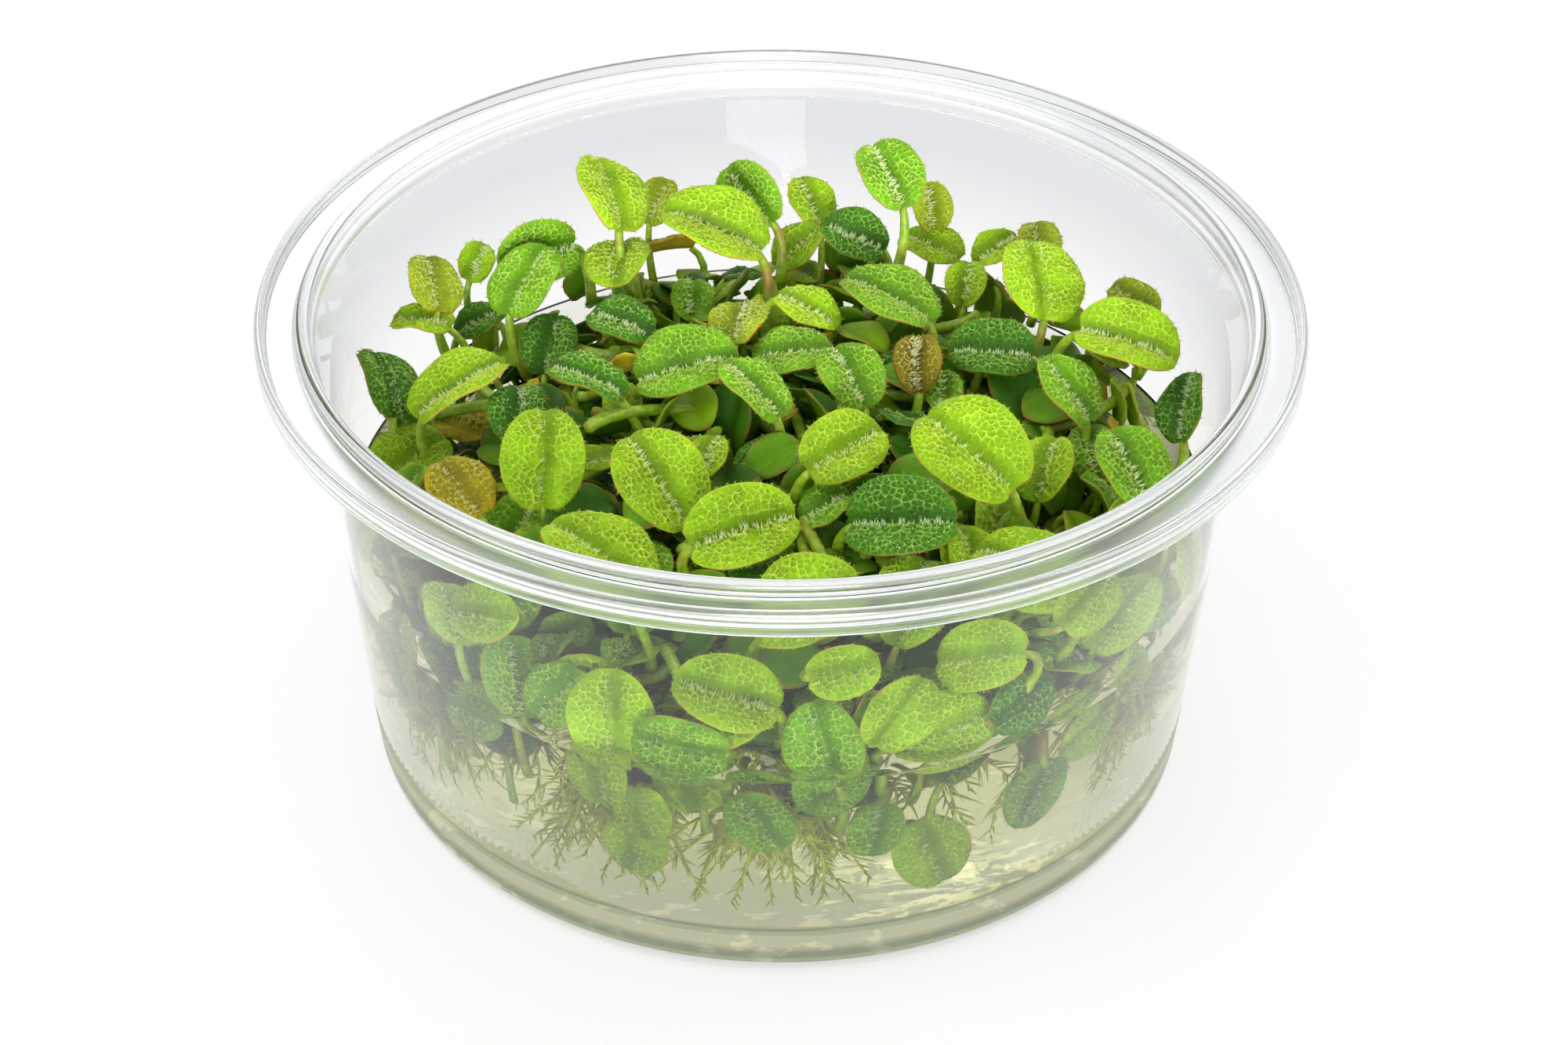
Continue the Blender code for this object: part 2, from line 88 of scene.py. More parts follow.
# One row for each leaf that shows whole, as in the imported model; its height comes from its own node
Leaf = namedtuple("Leaf", "name x y length heading pitch roll fold tone")
WHOLE_LEAVES = {
    "wall": (
        (-34, -30, 9, 105, 35, 10, 10, "lime"),
        (-27, -35, 11, 100, 50, 0, 20, "green"),
        (-17, -42, 12, 95, 65, -10, 15, "lime"),
        (-5, -44, 12, 180, 20, -50, 25, "lime"),
        (5, -45, 11, 120, 60, -40, 15, "green"),
        (17, -41, 12, 20, 10, 55, 20, "lime"),
        (21, -39, 11, 160, -15, -45, 10, "lime"),
        (36, -26, 11, 40, 35, 30, 10, "lime"),
        (-36, -28, 11, 130, 65, 30, 15, "dark"),
        (27, -36, 10, 240, -60, -30, 25, "green"),
    ),
    "left": (
        (-46, 4, 11, 110, 20, 35, 15, "dark"),
        (-37, 0, 13, 30, 20, -5, 25, "lime"),
        (-30, -3, 9, 90, 15, 0, 20, "dark"),
        (-42, 20, 9, 105, 25, 25, 10, "olive"),
        (-31, 21, 11, 60, 30, -5, 10, "green"),
        (-35, -19, 9, 130, 20, -10, 10, "ochre"),
    ),
    "right": (
        (47, 1, 9, 75, 45, -40, 20, "dark"),
        (33, 0, 10, 135, 35, 5, 15, "green"),
        (39, -14, 11, 115, 25, -5, 25, "green"),
        (40, 6, 13, 345, -10, 20, 30, "lime"),
        (25, 9, 11, 175, 0, -20, 20, "dark"),
        (31, 19, 13, 95, 20, 15, 10, "lime"),
    ),
    "back": (
        (-21, 30, 12, 110, 25, 25, 10, "lime"),
        (-30, 29, 11, 205, 0, -50, 30, "green"),
        (-20, 24, 10, 265, -5, 10, 10, "lime"),
        (-4, 35, 10, 135, 30, -45, 25, "green"),
        (-8, 23, 14, 170, 20, -15, 25, "lime"),
        (9, 32, 9, 170, 20, -35, 25, "dark"),
        (13, 33, 11, 115, 25, -5, 25, "green"),
        (13, 16, 13, 155, 15, 0, 15, "green"),
    ),
    "middle": (
        (-19, 13, 9, 150, 5, -10, 20, "dark"),
        (-11, 2, 13, 5, 15, 20, 25, "green"),
        (-5, 12, 9, 80, 5, -10, 15, "olive"),
        (3, 15, 9, 335, -15, 0, 15, "lime"),
        (1, 7, 10, 355, 10, 10, 10, "green"),
        (16, 5, 8, 90, 30, -5, 30, "rust"),
        (-22, -2, 10, 165, 15, 5, 20, "dark"),
        (-3, -4, 10, 140, 25, 10, 15, "green"),
        (8, 1, 10, 115, 20, -5, 20, "green"),
    ),
    "front": (
        (-26, -16, 12, 90, 45, 0, 15, "lime"),
        (-13, -20, 13, 130, 30, -15, 20, "lime"),
        (7, -14, 11, 35, 10, 25, 20, "lime"),
        (21, -17, 15, 135, 15, -20, 20, "lime"),
        (-19, -31, 14, 145, 15, 5, 15, "lime"),
        (-4, -29, 13, 15, 10, 35, 30, "lime"),
        (13, -26, 13, 350, 10, 30, 25, "dark"),
        (3, -38, 12, 10, 15, 20, 25, "lime"),
        (26, -31, 12, 145, 0, -10, 20, "lime"),
    ),
}
LEAVES = [
    Leaf(f"leaf_{side}_{number}", *row)
    for side, rows in WHOLE_LEAVES.items() for number, row in enumerate(rows, 1)
]

# Leaves that hang tip down from a stalk above them
HANGING = ("leaf_wall_10",)

# Smaller leaves against the wall: bearing from the front towards the right, height, depth in from the wall,
# length, turn of the tip from the right towards up, lean back of the face, all in millimetres and degrees
WallLeaf = namedtuple("WallLeaf", "bearing height depth length turn lean tone")
WALL_LEAVES = [WallLeaf(*row) for row in (
    (-12, 32, 2.5, 11, 175, 10, "green"),
    (-23, 26, 2.5, 9, 100, 15, "lime"),
    (-17, 22, 3.0, 8, 280, 5, "lime"),
    (7, 28, 2.5, 10, 250, 15, "green"),
    (15, 37, 2.5, 10, 55, 10, "lime"),
    (21, 15, 5.0, 11, 290, 10, "lime"),
    (13, 20, 5.0, 8, 260, 10, "green"),
    (-19, 16, 6.0, 9, 265, 10, "lime"),
    (-58, 27, 3.0, 12, 110, 10, "green"),
    (-43, 27, 3.0, 9, 10, 15, "green"),
    (-40, 42, 4.0, 9, 20, 30, "lime"),
    (8, 43, 4.0, 8, 10, 20, "lime"),
    (52, 29, 3.0, 8, 40, 15, "lime"),
    (46, 24, 4.0, 9, 200, 10, "lime"),
    (42, 44, 4.0, 10, 25, 30, "lime"),
    (-66, 40, 3.0, 9, 80, 20, "green"),
    (66, 36, 3.0, 9, 80, 20, "lime"),
    (-2, 22, 5.0, 9, 300, 10, "green"),
    (33, 33, 4.0, 9, 20, 20, "dark"),
    (-30, 34, 5.0, 9, 60, 20, "green"),
)]

# Smaller leaves that show between the whole ones: place, length and turns in millimetres and degrees
SkinLeaf = namedtuple("SkinLeaf", "x y z length heading pitch roll fold tone")
SKIN_LEAVES = [SkinLeaf(*row) for row in (
    (-16, 42, 45, 7, 60, 40, 0, 15, "olive"),
    (3.5, 42, 45, 8, 120, 35, 0, 20, "lime"),
    (2, 36, 42, 8, 30, 35, 10, 20, "lime"),
    (19, 43, 44, 7, 100, 45, 0, 25, "olive"),
    (19, 39, 43, 9, 150, 5, -5, 15, "lime"),
    (-38, 30, 43, 6, 70, 30, 20, 25, "lime"),
    (-43, 16, 43, 8, 170, 0, 0, 20, "lime"),
    (32, 33, 45, 7, 100, 20, 0, 15, "olive"),
    (42, 16, 47, 7, 150, 25, -20, 15, "olive"),
    (-28, 16, 40, 9, 80, 30, 0, 15, "dark"),
    (-37, 21, 40, 7, 20, 20, 10, 15, "dark"),
    (-1, -9, 40, 10, 40, 20, 10, 20, "dark"),
    (30, -10, 41, 9, 70, 30, -10, 20, "lime"),
    (19, 4, 42, 6, 90, 30, 0, 20, "green"),
    (14, -31, 40, 9, 60, 20, 10, 20, "lime"),
    (21, -26, 40, 9, 110, 30, 10, 25, "lime"),
    (-8, -11, 43, 6, 250, -25, 0, 20, "lime"),
    (-43, -3, 36, 11, 40, 15, 20, 20, "lime"),
    (-44, 3, 37, 8, 120, 20, 20, 20, "green"),
    (23, 31, 40, 7, 80, 30, 0, 25, "lime"),
    (27, 36, 42, 7, 30, 20, 10, 25, "lime"),
    (-11, 25, 41, 7, 90, 20, 0, 20, "green"),
    (-15, -27, 39, 9, 80, 20, 10, 20, "green"),
    (5, -18, 41, 7, 20, 25, 10, 20, "green"),
    (-29, -18, 38, 9, 60, 20, 10, 20, "green"),
    (36, -4, 39, 8, 100, 25, -10, 20, "green"),
)]

# The net of ridges on a leaf's upper face: the width of a cell, and how much of it is its sunken floor
CELL = 0.70 * MM
CELL_FLOOR = 0.64
SMALL_LEAF_CELL = 1.10 * MM
RIDGE_HEIGHT = 0.34 * MM
CELL_DEPTH = 0.06 * MM
# Below 1 this crowds the cells towards the rim
RIM_CROWDING = 0.78
# Beside the midrib, in cells from it: the smooth valley on one half and, on the other, the brink, which
# carries the longest bristles
VALLEY_MIDDLE = 0.95
VALLEY_WIDTH = 1.15
BRINK = 0.6
BRINK_WIDTH = 1.1
# The fold in degrees whose brink carries a full comb of bristles
COMBED_FOLD = 26

# Bristles on the net, in millimetres: height and foot radius, and what the brink adds to each
BRISTLE_HEIGHT = 0.26
BRISTLE_RADIUS = 0.08
BRINK_HEIGHT = 0.56
BRINK_RADIUS = 0.05
# Hairs along a blade's edge
EDGE_HAIR_RADIUS = 0.05 * MM
EDGE_HAIR_HEIGHTS = (0.2, 0.55)

# How a leaf that is placed one by one is finished: the range of its tone, its bristles, its edge hairs and
# how many more for a millimetre of length. Then its stalk: how far it drops and reaches inwards, its steps,
# its radius at the blade and at the foot, in millimetres, and its sides
Finish = namedtuple("Finish", "tones bristles edge_hairs hairs_a_mm drop inward steps thin thick sides")
WHOLE_FINISH = Finish(
    tones=(0.88, 1.08), bristles=270, edge_hairs=0, hairs_a_mm=9,
    drop=7, inward=2.5, steps=9, thin=0.5, thick=0.72, sides=8,
)
SKIN_FINISH = Finish(
    tones=(0.85, 1.05), bristles=110, edge_hairs=50, hairs_a_mm=0,
    drop=7, inward=2, steps=8, thin=0.42, thick=0.6, sides=6,
)
WALL_FINISH = Finish(
    tones=(0.85, 1.05), bristles=130, edge_hairs=60, hairs_a_mm=0,
    drop=2, inward=4, steps=6, thin=0.45, thick=0.6, sides=6,
)
HANGING_DROP = -6

# Blades that are placed many times have this length, and the folds of leaves that are drawn lie in this range
STOCK_LENGTH = 10 * MM
FOLDS = (8, 28)
DEEP_LEAF_GRID = (10, 8)

# The room to the wall that scattered leaves and those placed one by one keep, and the height that the
# scattered ones stay under
SCATTERED_WALL_GAP = 0.8 * MM
PLACED_WALL_GAP = 0.6 * MM
LEAF_CEILING = 55 * MM
# Two blades whose middles are further apart than this can't cross
SCATTERED_REACH = 14 * MM
PLACED_REACH = 16 * MM

# The heap that the leaves form, from the middle of the tub to its edge
HEAP_CROWN = 46.5 * MM
HEAP_EDGE = 38.0 * MM
HEAP_RADIUS = 44.0 * MM
HEAP_BOTTOM = 22.5 * MM
DEEP_RADIUS = 43 * MM
# The dark body of painted shade that lies under the leaves
CORE_DEPTH = 11 * MM
CORE_RADIUS = 41 * MM
CORE_LUMPS = 60

# The creeping stems
STEM_COUNT = 90
STEM_RADIUS = 0.7 * MM

# Roots: strands in a tuft and in the fringe, their room to the wall, the points of a strand, and the radii of
# a hair from strand to tip
TUFT_STRANDS = 28
FRINGE_STRANDS = 190
ROOT_GAP = 0.7 * MM
ROOT_STEPS = 10
ROOT_HAIR_RADII = np.array([0.17, 0.15, 0.11, 0.03]) * MM

# A blade's form: length, fold in degrees, the wave of its edge and where that starts. A netted one also has
# the width of a cell, the half with the brink, 1 for +Y, and how full the brink's comb of bristles is
Form = namedtuple("Form", "length fold wave phase cell near comb", defaults=(0, 1, 0))


class Shape:
    """Points, faces and one four-part mark a point, gathered until they become one mesh."""

    def __init__(self):
        self.points = []
        self.faces = []
        self.marks = []
        self.count = 0

    def add(self, points, faces, marks):
        faces = faces.tolist() if isinstance(faces, np.ndarray) else faces
        self.points.append(np.asarray(points, float))
        self.marks.append(np.broadcast_to(np.asarray(marks, float), (len(points), 4)))
        self.faces.extend([[corner + self.count for corner in face] for face in faces])
        self.count += len(points)

    def add_shape(self, other, matrix):
        turn = np.array(matrix)
        self.points.append(np.concatenate(other.points) @ turn[:3, :3].T + turn[:3, 3])
        self.marks.extend(other.marks)
        self.faces.extend([[corner + self.count for corner in face] for face in other.faces])
        self.count += other.count

    def make(self, name, material):
        mesh = bpy.data.meshes.new(name)
        mesh.from_pydata(np.concatenate(self.points).tolist(), [], self.faces)
        marks = mesh.color_attributes.new("marks", "FLOAT_COLOR", "POINT")
        marks.data.foreach_set("color", np.concatenate(self.marks).ravel())
        mesh.shade_smooth()
        mesh.materials.append(material)
        obj = bpy.data.objects.new(name, mesh)
        bpy.context.scene.collection.objects.link(obj)
        return obj


def dress(piece, node):
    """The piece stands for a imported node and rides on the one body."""
    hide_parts(node)
    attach(piece, "root")


def dress_by_tone(name, shapes, materials):
    """One piece for each tone of leaf, all in place of the tangle."""
    for tone, shape in sorted(shapes.items()):
        dress(shape.make(f"{name}_{tone}", materials[tone]), "tangle")


def skin_faces(rings, sides, flip=False):
    """Faces over rings of points and over the first and last point that follow them, turned over by flip."""
    ring = np.arange(sides)
    following = np.roll(ring, -1)
    near, far = (following, ring) if flip else (ring, following)
    faces = []
    for start in range(0, (rings - 1) * sides, sides):
        after = start + sides
        faces += np.stack([start + near, after + near, after + far, start + far], -1).tolist()
    end = (rings - 1) * sides
    for point, a, b in ((rings * sides, near, far), (rings * sides + 1, end + far, end + near)):
        faces += np.stack([np.full(sides, point), a, b], -1).tolist()
    return faces


def outward_at(bearing):
    """The level direction away from the tub's middle at a bearing."""
    return np.array([math.cos(bearing), math.sin(bearing), 0])


def aside_of(outward):
    return np.array([-outward[1], outward[0], 0])


def smooth_step(value):
    value = np.clip(value, 0, 1)
    return value * value * (3 - 2 * value)


def unit(vectors):
    vectors = np.asarray(vectors, float)
    return vectors / np.maximum(np.linalg.norm(vectors, axis=-1, keepdims=True), 1e-12)


def blade_sheet(length, fold):
    """Points of a blade's middle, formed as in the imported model: tip at +X, left half at +Y, open to +Z."""
    along = np.linspace(0, 1, SHEET_STEPS + 1)[:, None]
    across = np.linspace(-1, 1, SHEET_STEPS + 1)[None, :]
    side = np.abs(across)
    half = WIDTH_SHARE * length / 2 * np.sqrt(1 - ((along - 0.45) / 0.62) ** 2)
    lobe = LOBE_SHARE * length * np.sin(np.pi * side) * (1 - along) ** 2
    tip = TIP_SHARE * length * (1 - side * side) * along ** 2
    angle = math.radians(fold)
    rise = half * (side * math.sin(angle) + PUFF_SHARE * np.sin(np.pi * side))
    droop = DROOP_SHARE * length * (2 * along - 1) ** 2
    x = length * (0.86 * along - 0.43) - lobe + tip
    y = half * across * math.cos(angle)
    return np.stack([x, y, rise - droop], axis=-1).reshape(-1, 3)


def outline_share(bearing, notches):
    """How far the outline reaches at a bearing in the blade's plane, as a share of a plain ellipse."""
    base = np.exp(-((np.abs(bearing) - math.pi) / 0.26) ** 2)
    tip = np.exp(-(bearing / 0.2) ** 2)
    return 1 - notches[0] * base - notches[1] * tip


def to_round(points, length):
    """Points in the blade's plane as a share of the plain ellipse and a bearing."""
    scaled = points / [length / 2, WIDTH_SHARE * length / 2]
    return np.hypot(scaled[:, 0], scaled[:, 1]), np.arctan2(scaled[:, 1], scaled[:, 0])


def from_round(reach, bearing, length):
    return np.stack([
        reach * np.cos(bearing) * length / 2,
        reach * np.sin(bearing) * WIDTH_SHARE * length / 2,
    ], axis=-1)


def cell_seeds(length, cell, notches, rng):
    """Middles of the net's cells: slanting rows on each half, with one row mirrored beside the midrib."""
    rows = int(WIDTH_SHARE * length / 2 / (0.86 * cell)) + 1
    columns = int(length / cell) + 6
    kept = []
    for row in range(rows):
        height = (0.45 + 0.86 * row) * cell
        steps = (np.arange(columns) - columns / 2 + 0.5 * (row % 2)) * cell - 0.5 * height
        steps = steps + rng.uniform(-0.3, 0.3, columns) * cell
        if row == 0:
            kept.append(np.stack([steps, np.full(columns, height)], axis=-1))
            kept.append(np.stack([steps, np.full(columns, -height)], axis=-1))
            continue
        for way in (1, -1):
            x = steps + rng.uniform(-0.25, 0.25, columns) * cell
            y = way * (height + rng.uniform(-0.38, 0.38, columns) * cell)
            kept.append(np.stack([x, y], axis=-1))
    seeds = np.concatenate(kept)
    reach, bearing = to_round(seeds, length)
    reach = reach ** RIM_CROWDING
    crowded = from_round(reach, bearing, length)
    return crowded[reach < outline_share(bearing, notches) - 0.7 * cell / length]


def mirrored_outside(seeds, length, cell, notches):
    """Each seed near the outline again beyond it, so that the cells end on the outline, and a far ring."""
    reach, bearing = to_round(seeds, length)
    share = outline_share(bearing, notches)
    near = reach > share - 3.4 * cell / length
    outside = from_round(2 * share[near] - reach[near], bearing[near], length)
    turns = np.linspace(0, 2 * math.pi, 40, endpoint=False)
    return np.concatenate([outside, from_round(1 + 6 * cell / length, turns, length)])


def net_cells(length, cell, notches, rng):
    """A leaf's net: its corners, which of them are on the outline, and each cell's middle and loop."""
    seeds = cell_seeds(length, cell, notches, rng)
    everything = np.concatenate([seeds, mirrored_outside(seeds, length, cell, notches)])
    found = delaunay_2d_cdt([Vector(point / cell) for point in everything], [], [], 0, 1e-6)
    places = np.array([tuple(point) for point in found[0]]) * cell
    triangles = np.array(found[2])
    inner = np.array([min(ids) < len(seeds) if ids else False for ids in found[3]])
    a, b, c = (places[triangles[:, k]] for k in range(3))
    double = 2 * ((b - a)[:, 0] * (c - a)[:, 1] - (b - a)[:, 1] * (c - a)[:, 0])
    far_b = ((b - a) ** 2).sum(axis=1)
    far_c = ((c - a) ** 2).sum(axis=1)
    x = a[:, 0] + ((c - a)[:, 1] * far_b - (b - a)[:, 1] * far_c) / double
    y = a[:, 1] + ((b - a)[:, 0] * far_c - (c - a)[:, 0] * far_b) / double
    centres = np.stack([x, y], axis=-1)
    outer = ~inner[triangles].all(axis=1)
    _, bearing = to_round(centres, length)
    centres[outer] = from_round(outline_share(bearing[outer], notches), bearing[outer], length)
    keys = np.round(centres / cell * 40).astype(int)
    _, first, merged = np.unique(keys, axis=0, return_index=True, return_inverse=True)
    merged = merged.reshape(-1)
    around = {}
    for triangle, corners in enumerate(triangles):
        for corner in corners:
            if inner[corner]:
                around.setdefault(int(corner), []).append(triangle)
    middles = []
    loops = []
    for seed, nearby in around.items():
        turned = centres[nearby] - places[seed]
        order = np.argsort(np.arctan2(turned[:, 1], turned[:, 0]))
        loop = [int(merged[nearby[k]]) for k in order]
        loop = [corner for k, corner in enumerate(loop) if corner != loop[k - 1]]
        if len(loop) > 2:
            middles.append(places[seed])
            loops.append(loop)
    return centres[first], outer[first], np.array(middles), loops


def loop_edges(loops):
    return {(loop[k - 1], loop[k]): True for loop in loops for k in range(len(loop))}


def sound_net(length, cell, rng):
    """A net whose outline is one simple loop: a draw that pinches itself at the notch is drawn again."""
    while True:
        notches = (rng.uniform(0.10, 0.19), rng.uniform(0.0, 0.08))
        corners, outer, middles, loops = net_cells(length, cell, notches, rng)
        edges = loop_edges(loops)
        rim = [pair for pair in edges if pair[::-1] not in edges]
        starts = {a for a, _ in rim}
        closed = len(starts) == len(rim) and starts == {b for _, b in rim}
        once = len(edges) == sum(len(loop) for loop in loops)
        if closed and once and outer[list(starts)].all():
            return corners, outer, middles, loops, rim


def blade_surface(points, form):
    """Places in the blade's plane carried onto its folded, puffed and drooping middle surface."""
    x, y = points[:, 0], points[:, 1]
    along = np.clip(2 * x / form.length, -0.98, 0.98)
    half = WIDTH_SHARE * form.length / 2 * np.sqrt(1 - along ** 2)
    side = np.clip(np.abs(y) / half, 0, 1)
    angle = math.radians(form.fold)
    rise = np.abs(y) * math.sin(angle) + PUFF_SHARE * half * np.sin(np.pi * side)
    droop = DROOP_SHARE * form.length * along ** 2
    ripple = form.wave * side ** 3 * np.sin(4.5 * along + form.phase + 1.5 * np.sign(y))
    return np.stack([x, y * math.cos(angle), rise - droop + ripple], axis=-1)


def blade_normals(points, form):
    step = 0.02 * form.length
    ahead = blade_surface(points + [step, 0], form)
    behind = blade_surface(points - [step, 0], form)
    left = blade_surface(points + [0, step], form)
    right = blade_surface(points - [0, step], form)
    return unit(np.cross(ahead - behind, left - right))


def valley_share(points, form):
    """1 on the valley's smooth floor, beside the midrib on the half away from the brink, and 0 beyond."""
    offset = form.near * points[:, 1] + VALLEY_MIDDLE * form.cell
    return np.exp(-(offset / (VALLEY_WIDTH * form.cell)) ** 4)


def brink_share(points, form):
    """How far the brink's comb stands: full along the brink, falling to 0 on both sides and at its ends."""
    ends = np.clip(1 - (2.1 * points[:, 0] / form.length) ** 4, 0, 1)
    offset = form.near * points[:, 1] - BRINK * form.cell
    return form.comb * ends * np.exp(-(offset / (BRINK_WIDTH * form.cell)) ** 2)


def ridge_strength(corners, outer, form, rng):
    """How strongly the net stands at each corner: broken at random, gone in the valley, faint at the rim."""
    reach, _ = to_round(corners, form.length)
    broken = np.where(rng.uniform(0, 1, len(corners)) < 0.3, 0.2, rng.uniform(0.6, 1.0, len(corners)))
    faint = 1 - 0.45 * smooth_step((reach - 0.75) / 0.25)
    raised = 1 + 0.5 * brink_share(corners, form)
    return broken * (1 - valley_share(corners, form)) * faint * raised * ~outer


def tone_with_painted_shade(points, form, tone):
    """The tone at each point: darker in the valley, painted shade in the crease beside the midrib, and
    lighter towards the rim.
    """
    reach, _ = to_round(points, form.length)
    return tone * (1 - 0.28 * valley_share(points, form)) * (0.92 + 0.12 * np.minimum(reach, 1) ** 2)


def add_netted_blade(shape, length, fold, cell, rng, tone, bristles, edge_hairs, wave=EDGE_WAVE, near=-1):
    """A closed blade whose upper face is a net of raised ridges round sunken cells, with bristles and hairs.

    The four marks of a point are net, edge, underside and tone, which holds painted shade in the valley. The
    net of a bristle is 2.
    """
    form = Form(length, fold, wave, rng.uniform(0, 6), cell, near, min(fold / COMBED_FOLD, 1.2))
    corners, outer, middles, loops, rim = sound_net(length, cell, rng)
    surface = blade_surface(corners, form)
    normals = blade_normals(corners, form)
    strength = ridge_strength(corners, outer, form, rng)
    half_thick = np.where(outer, 0.2, 0.5) * BLADE
    tops = surface + normals * (half_thick + RIDGE_HEIGHT * strength)[:, None]
    bottoms = surface - normals * half_thick[:, None]
    plain = 0 * strength
    # Tones darkened in the valley as painted shade
    painted_shade_tones = tone_with_painted_shade(corners, form, tone)
    points = [tops, bottoms]
    marks = [
        np.stack([np.where(outer, 0.4, strength), outer * 1.0, plain, painted_shade_tones], axis=-1),
        np.stack([plain + 0.3, outer * 1.0, plain + 1, plain + tone], axis=-1),
    ]
    count = 2 * len(corners)
    faces = []
    for middle, loop in zip(middles, loops):
        ring = np.concatenate([middle + (corners[loop] - middle) * CELL_FLOOR, middle[None]])
        points.append(blade_surface(ring, form) + blade_normals(ring, form) * (BLADE / 2 - CELL_DEPTH))
        floor_marks = np.zeros((len(ring), 4))
        floor_marks[:-1, 0] = 0.1
        floor_marks[:, 3] = tone_with_painted_shade(ring, form, tone)
        marks.append(floor_marks)
        floor = [count + k for k in range(len(loop))]
        for k in range(len(loop)):
            faces.append([loop[k - 1], loop[k], floor[k], floor[k - 1]])
            faces.append([floor[k - 1], floor[k], count + len(loop)])
        faces.append([corner + len(corners) for corner in reversed(loop)])
        count += len(ring)
    for a, b in rim:
        faces.append([a, a + len(corners), b + len(corners), b])
    shape.add(np.concatenate(points), faces, np.concatenate(marks))
    add_bristles(shape, corners, strength, ~outer, form, rng, tone, bristles)
    add_edge_hairs(shape, surface, rim, rng, tone, edge_hairs)


def add_bristles(shape, corners, strength, inner, form, rng, tone, count):
    """Bristles on the ridges, longest and closest along the brink."""
    crest = brink_share(corners, form)
    weight = (0.25 + crest) * (0.2 + strength) * inner
    chosen = rng.choice(len(corners), count, p=weight / weight.sum())
    crest = crest[chosen]
    shift = rng.uniform(-0.5, 0.5, (count, 2)) * form.cell * (0.2 + crest)[:, None]
    flat = corners[chosen] + shift
    ways = blade_normals(flat, form)
    roots = blade_surface(flat, form) + ways * (BLADE / 2 + 0.5 * RIDGE_HEIGHT * strength[chosen])[:, None]
    ways = ways + rng.normal(0, 0.28, (count, 3)) + crest[:, None] * [0, -0.4 * form.near, 0]
    heights = (BRISTLE_HEIGHT + BRINK_HEIGHT * crest) * rng.uniform(0.6, 1.4, count) * MM
    radii = (BRISTLE_RADIUS + BRINK_RADIUS * crest) * MM
    cone_hairs(shape, roots, ways, heights, radii, (2.0, 0, 0, tone))


def add_edge_hairs(shape, surface, rim, rng, tone, count):
    """Short hairs that point outwards from places along the outline."""
    chosen = np.array(rim)[rng.choice(len(rim), count)]
    share = rng.uniform(0, 1, (count, 1))
    roots = surface[chosen[:, 0]] * share + surface[chosen[:, 1]] * (1 - share)
    ways = unit(roots * [1, 1, 0]) + rng.normal(0, 0.3, (count, 3))
    heights = rng.uniform(*EDGE_HAIR_HEIGHTS, count) * MM
    cone_hairs(shape, roots, ways, heights, np.full(count, EDGE_HAIR_RADIUS), (0.8, 0.7, 0, tone))


def grid_faces(rows, columns, start=0, flip=False):
    corner = start + np.arange(rows * (columns + 1)).reshape(rows, columns + 1)[:, :-1].ravel()
    faces = np.stack([corner, corner + columns + 1, corner + columns + 2, corner + 1], axis=-1)
    return faces[:, ::-1] if flip else faces


def rim_loop(rows, columns):
    """The outline of a grid as corner numbers, in order."""
    wide = columns + 1
    first = list(range(columns))
    right = [row * wide + columns for row in range(rows)]
    last = [rows * wide + column for column in range(columns, 0, -1)]
    left = [row * wide for row in range(rows, 0, -1)]
    return first + right + last + left


def cone_hairs(shape, roots, ways, heights, radii, mark):
    """Three-sided bristles: one base triangle and one point each."""
    ways = unit(ways)
    helper = np.where(np.abs(ways[:, 2:3]) < 0.9, [[0.0, 0.0, 1.0]], [[1.0, 0.0, 0.0]])
    aside = unit(np.cross(ways, helper))
    other = np.cross(ways, aside)
    corners = []
    for turn in (0, 2 * math.pi / 3, 4 * math.pi / 3):
        ring = aside * math.cos(turn) + other * math.sin(turn)
        corners.append(roots + ring * radii[:, None] - ways * radii[:, None])
    corners.append(roots + ways * heights[:, None])
    points = np.stack(corners, axis=1).reshape(-1, 3)
    start = np.arange(len(roots))[:, None] * 4
    faces = [start + face for face in ((0, 1, 3), (1, 2, 3), (2, 0, 3), (2, 1, 0))]
    shape.add(points, np.concatenate(faces), mark)


def add_plain_blade(shape, length, fold):
    """A closed blade of unit tone without its net, for leaves that show only deep between others."""
    rows, columns = DEEP_LEAF_GRID
    u, v = np.meshgrid(np.linspace(-1, 1, rows + 1), np.linspace(-1, 1, columns + 1), indexing="ij")
    flat = np.stack([
        u * np.sqrt(1 - v * v / 2) * length / 2,
        v * np.sqrt(1 - u * u / 2) * WIDTH_SHARE * length / 2,
    ], axis=-1).reshape(-1, 2)
    form = Form(length, fold, EDGE_WAVE, 0)
    loop = np.array(rim_loop(rows, columns))
    half_thick = np.full(len(flat), BLADE / 2)
    half_thick[loop] *= 0.4
    edge = np.zeros(len(flat))
    edge[loop] = 1
    count = len(flat)
    after = np.roll(loop, -1)
    walls = np.stack([loop, after, after + count, loop + count], axis=-1)
    marks = np.zeros((2 * count, 4))
    marks[:count, 0] = 0.08
    marks[:, 1] = np.tile(edge, 2)
    marks[count:, 2] = 1
    marks[:, 3] = 1
    surface = blade_surface(flat, form)
    lift = blade_normals(flat, form) * half_thick[:, None]
    faces = np.concatenate([grid_faces(rows, columns), grid_faces(rows, columns, count, flip=True), walls])
    shape.add(np.concatenate([surface + lift, surface - lift]), faces, marks)


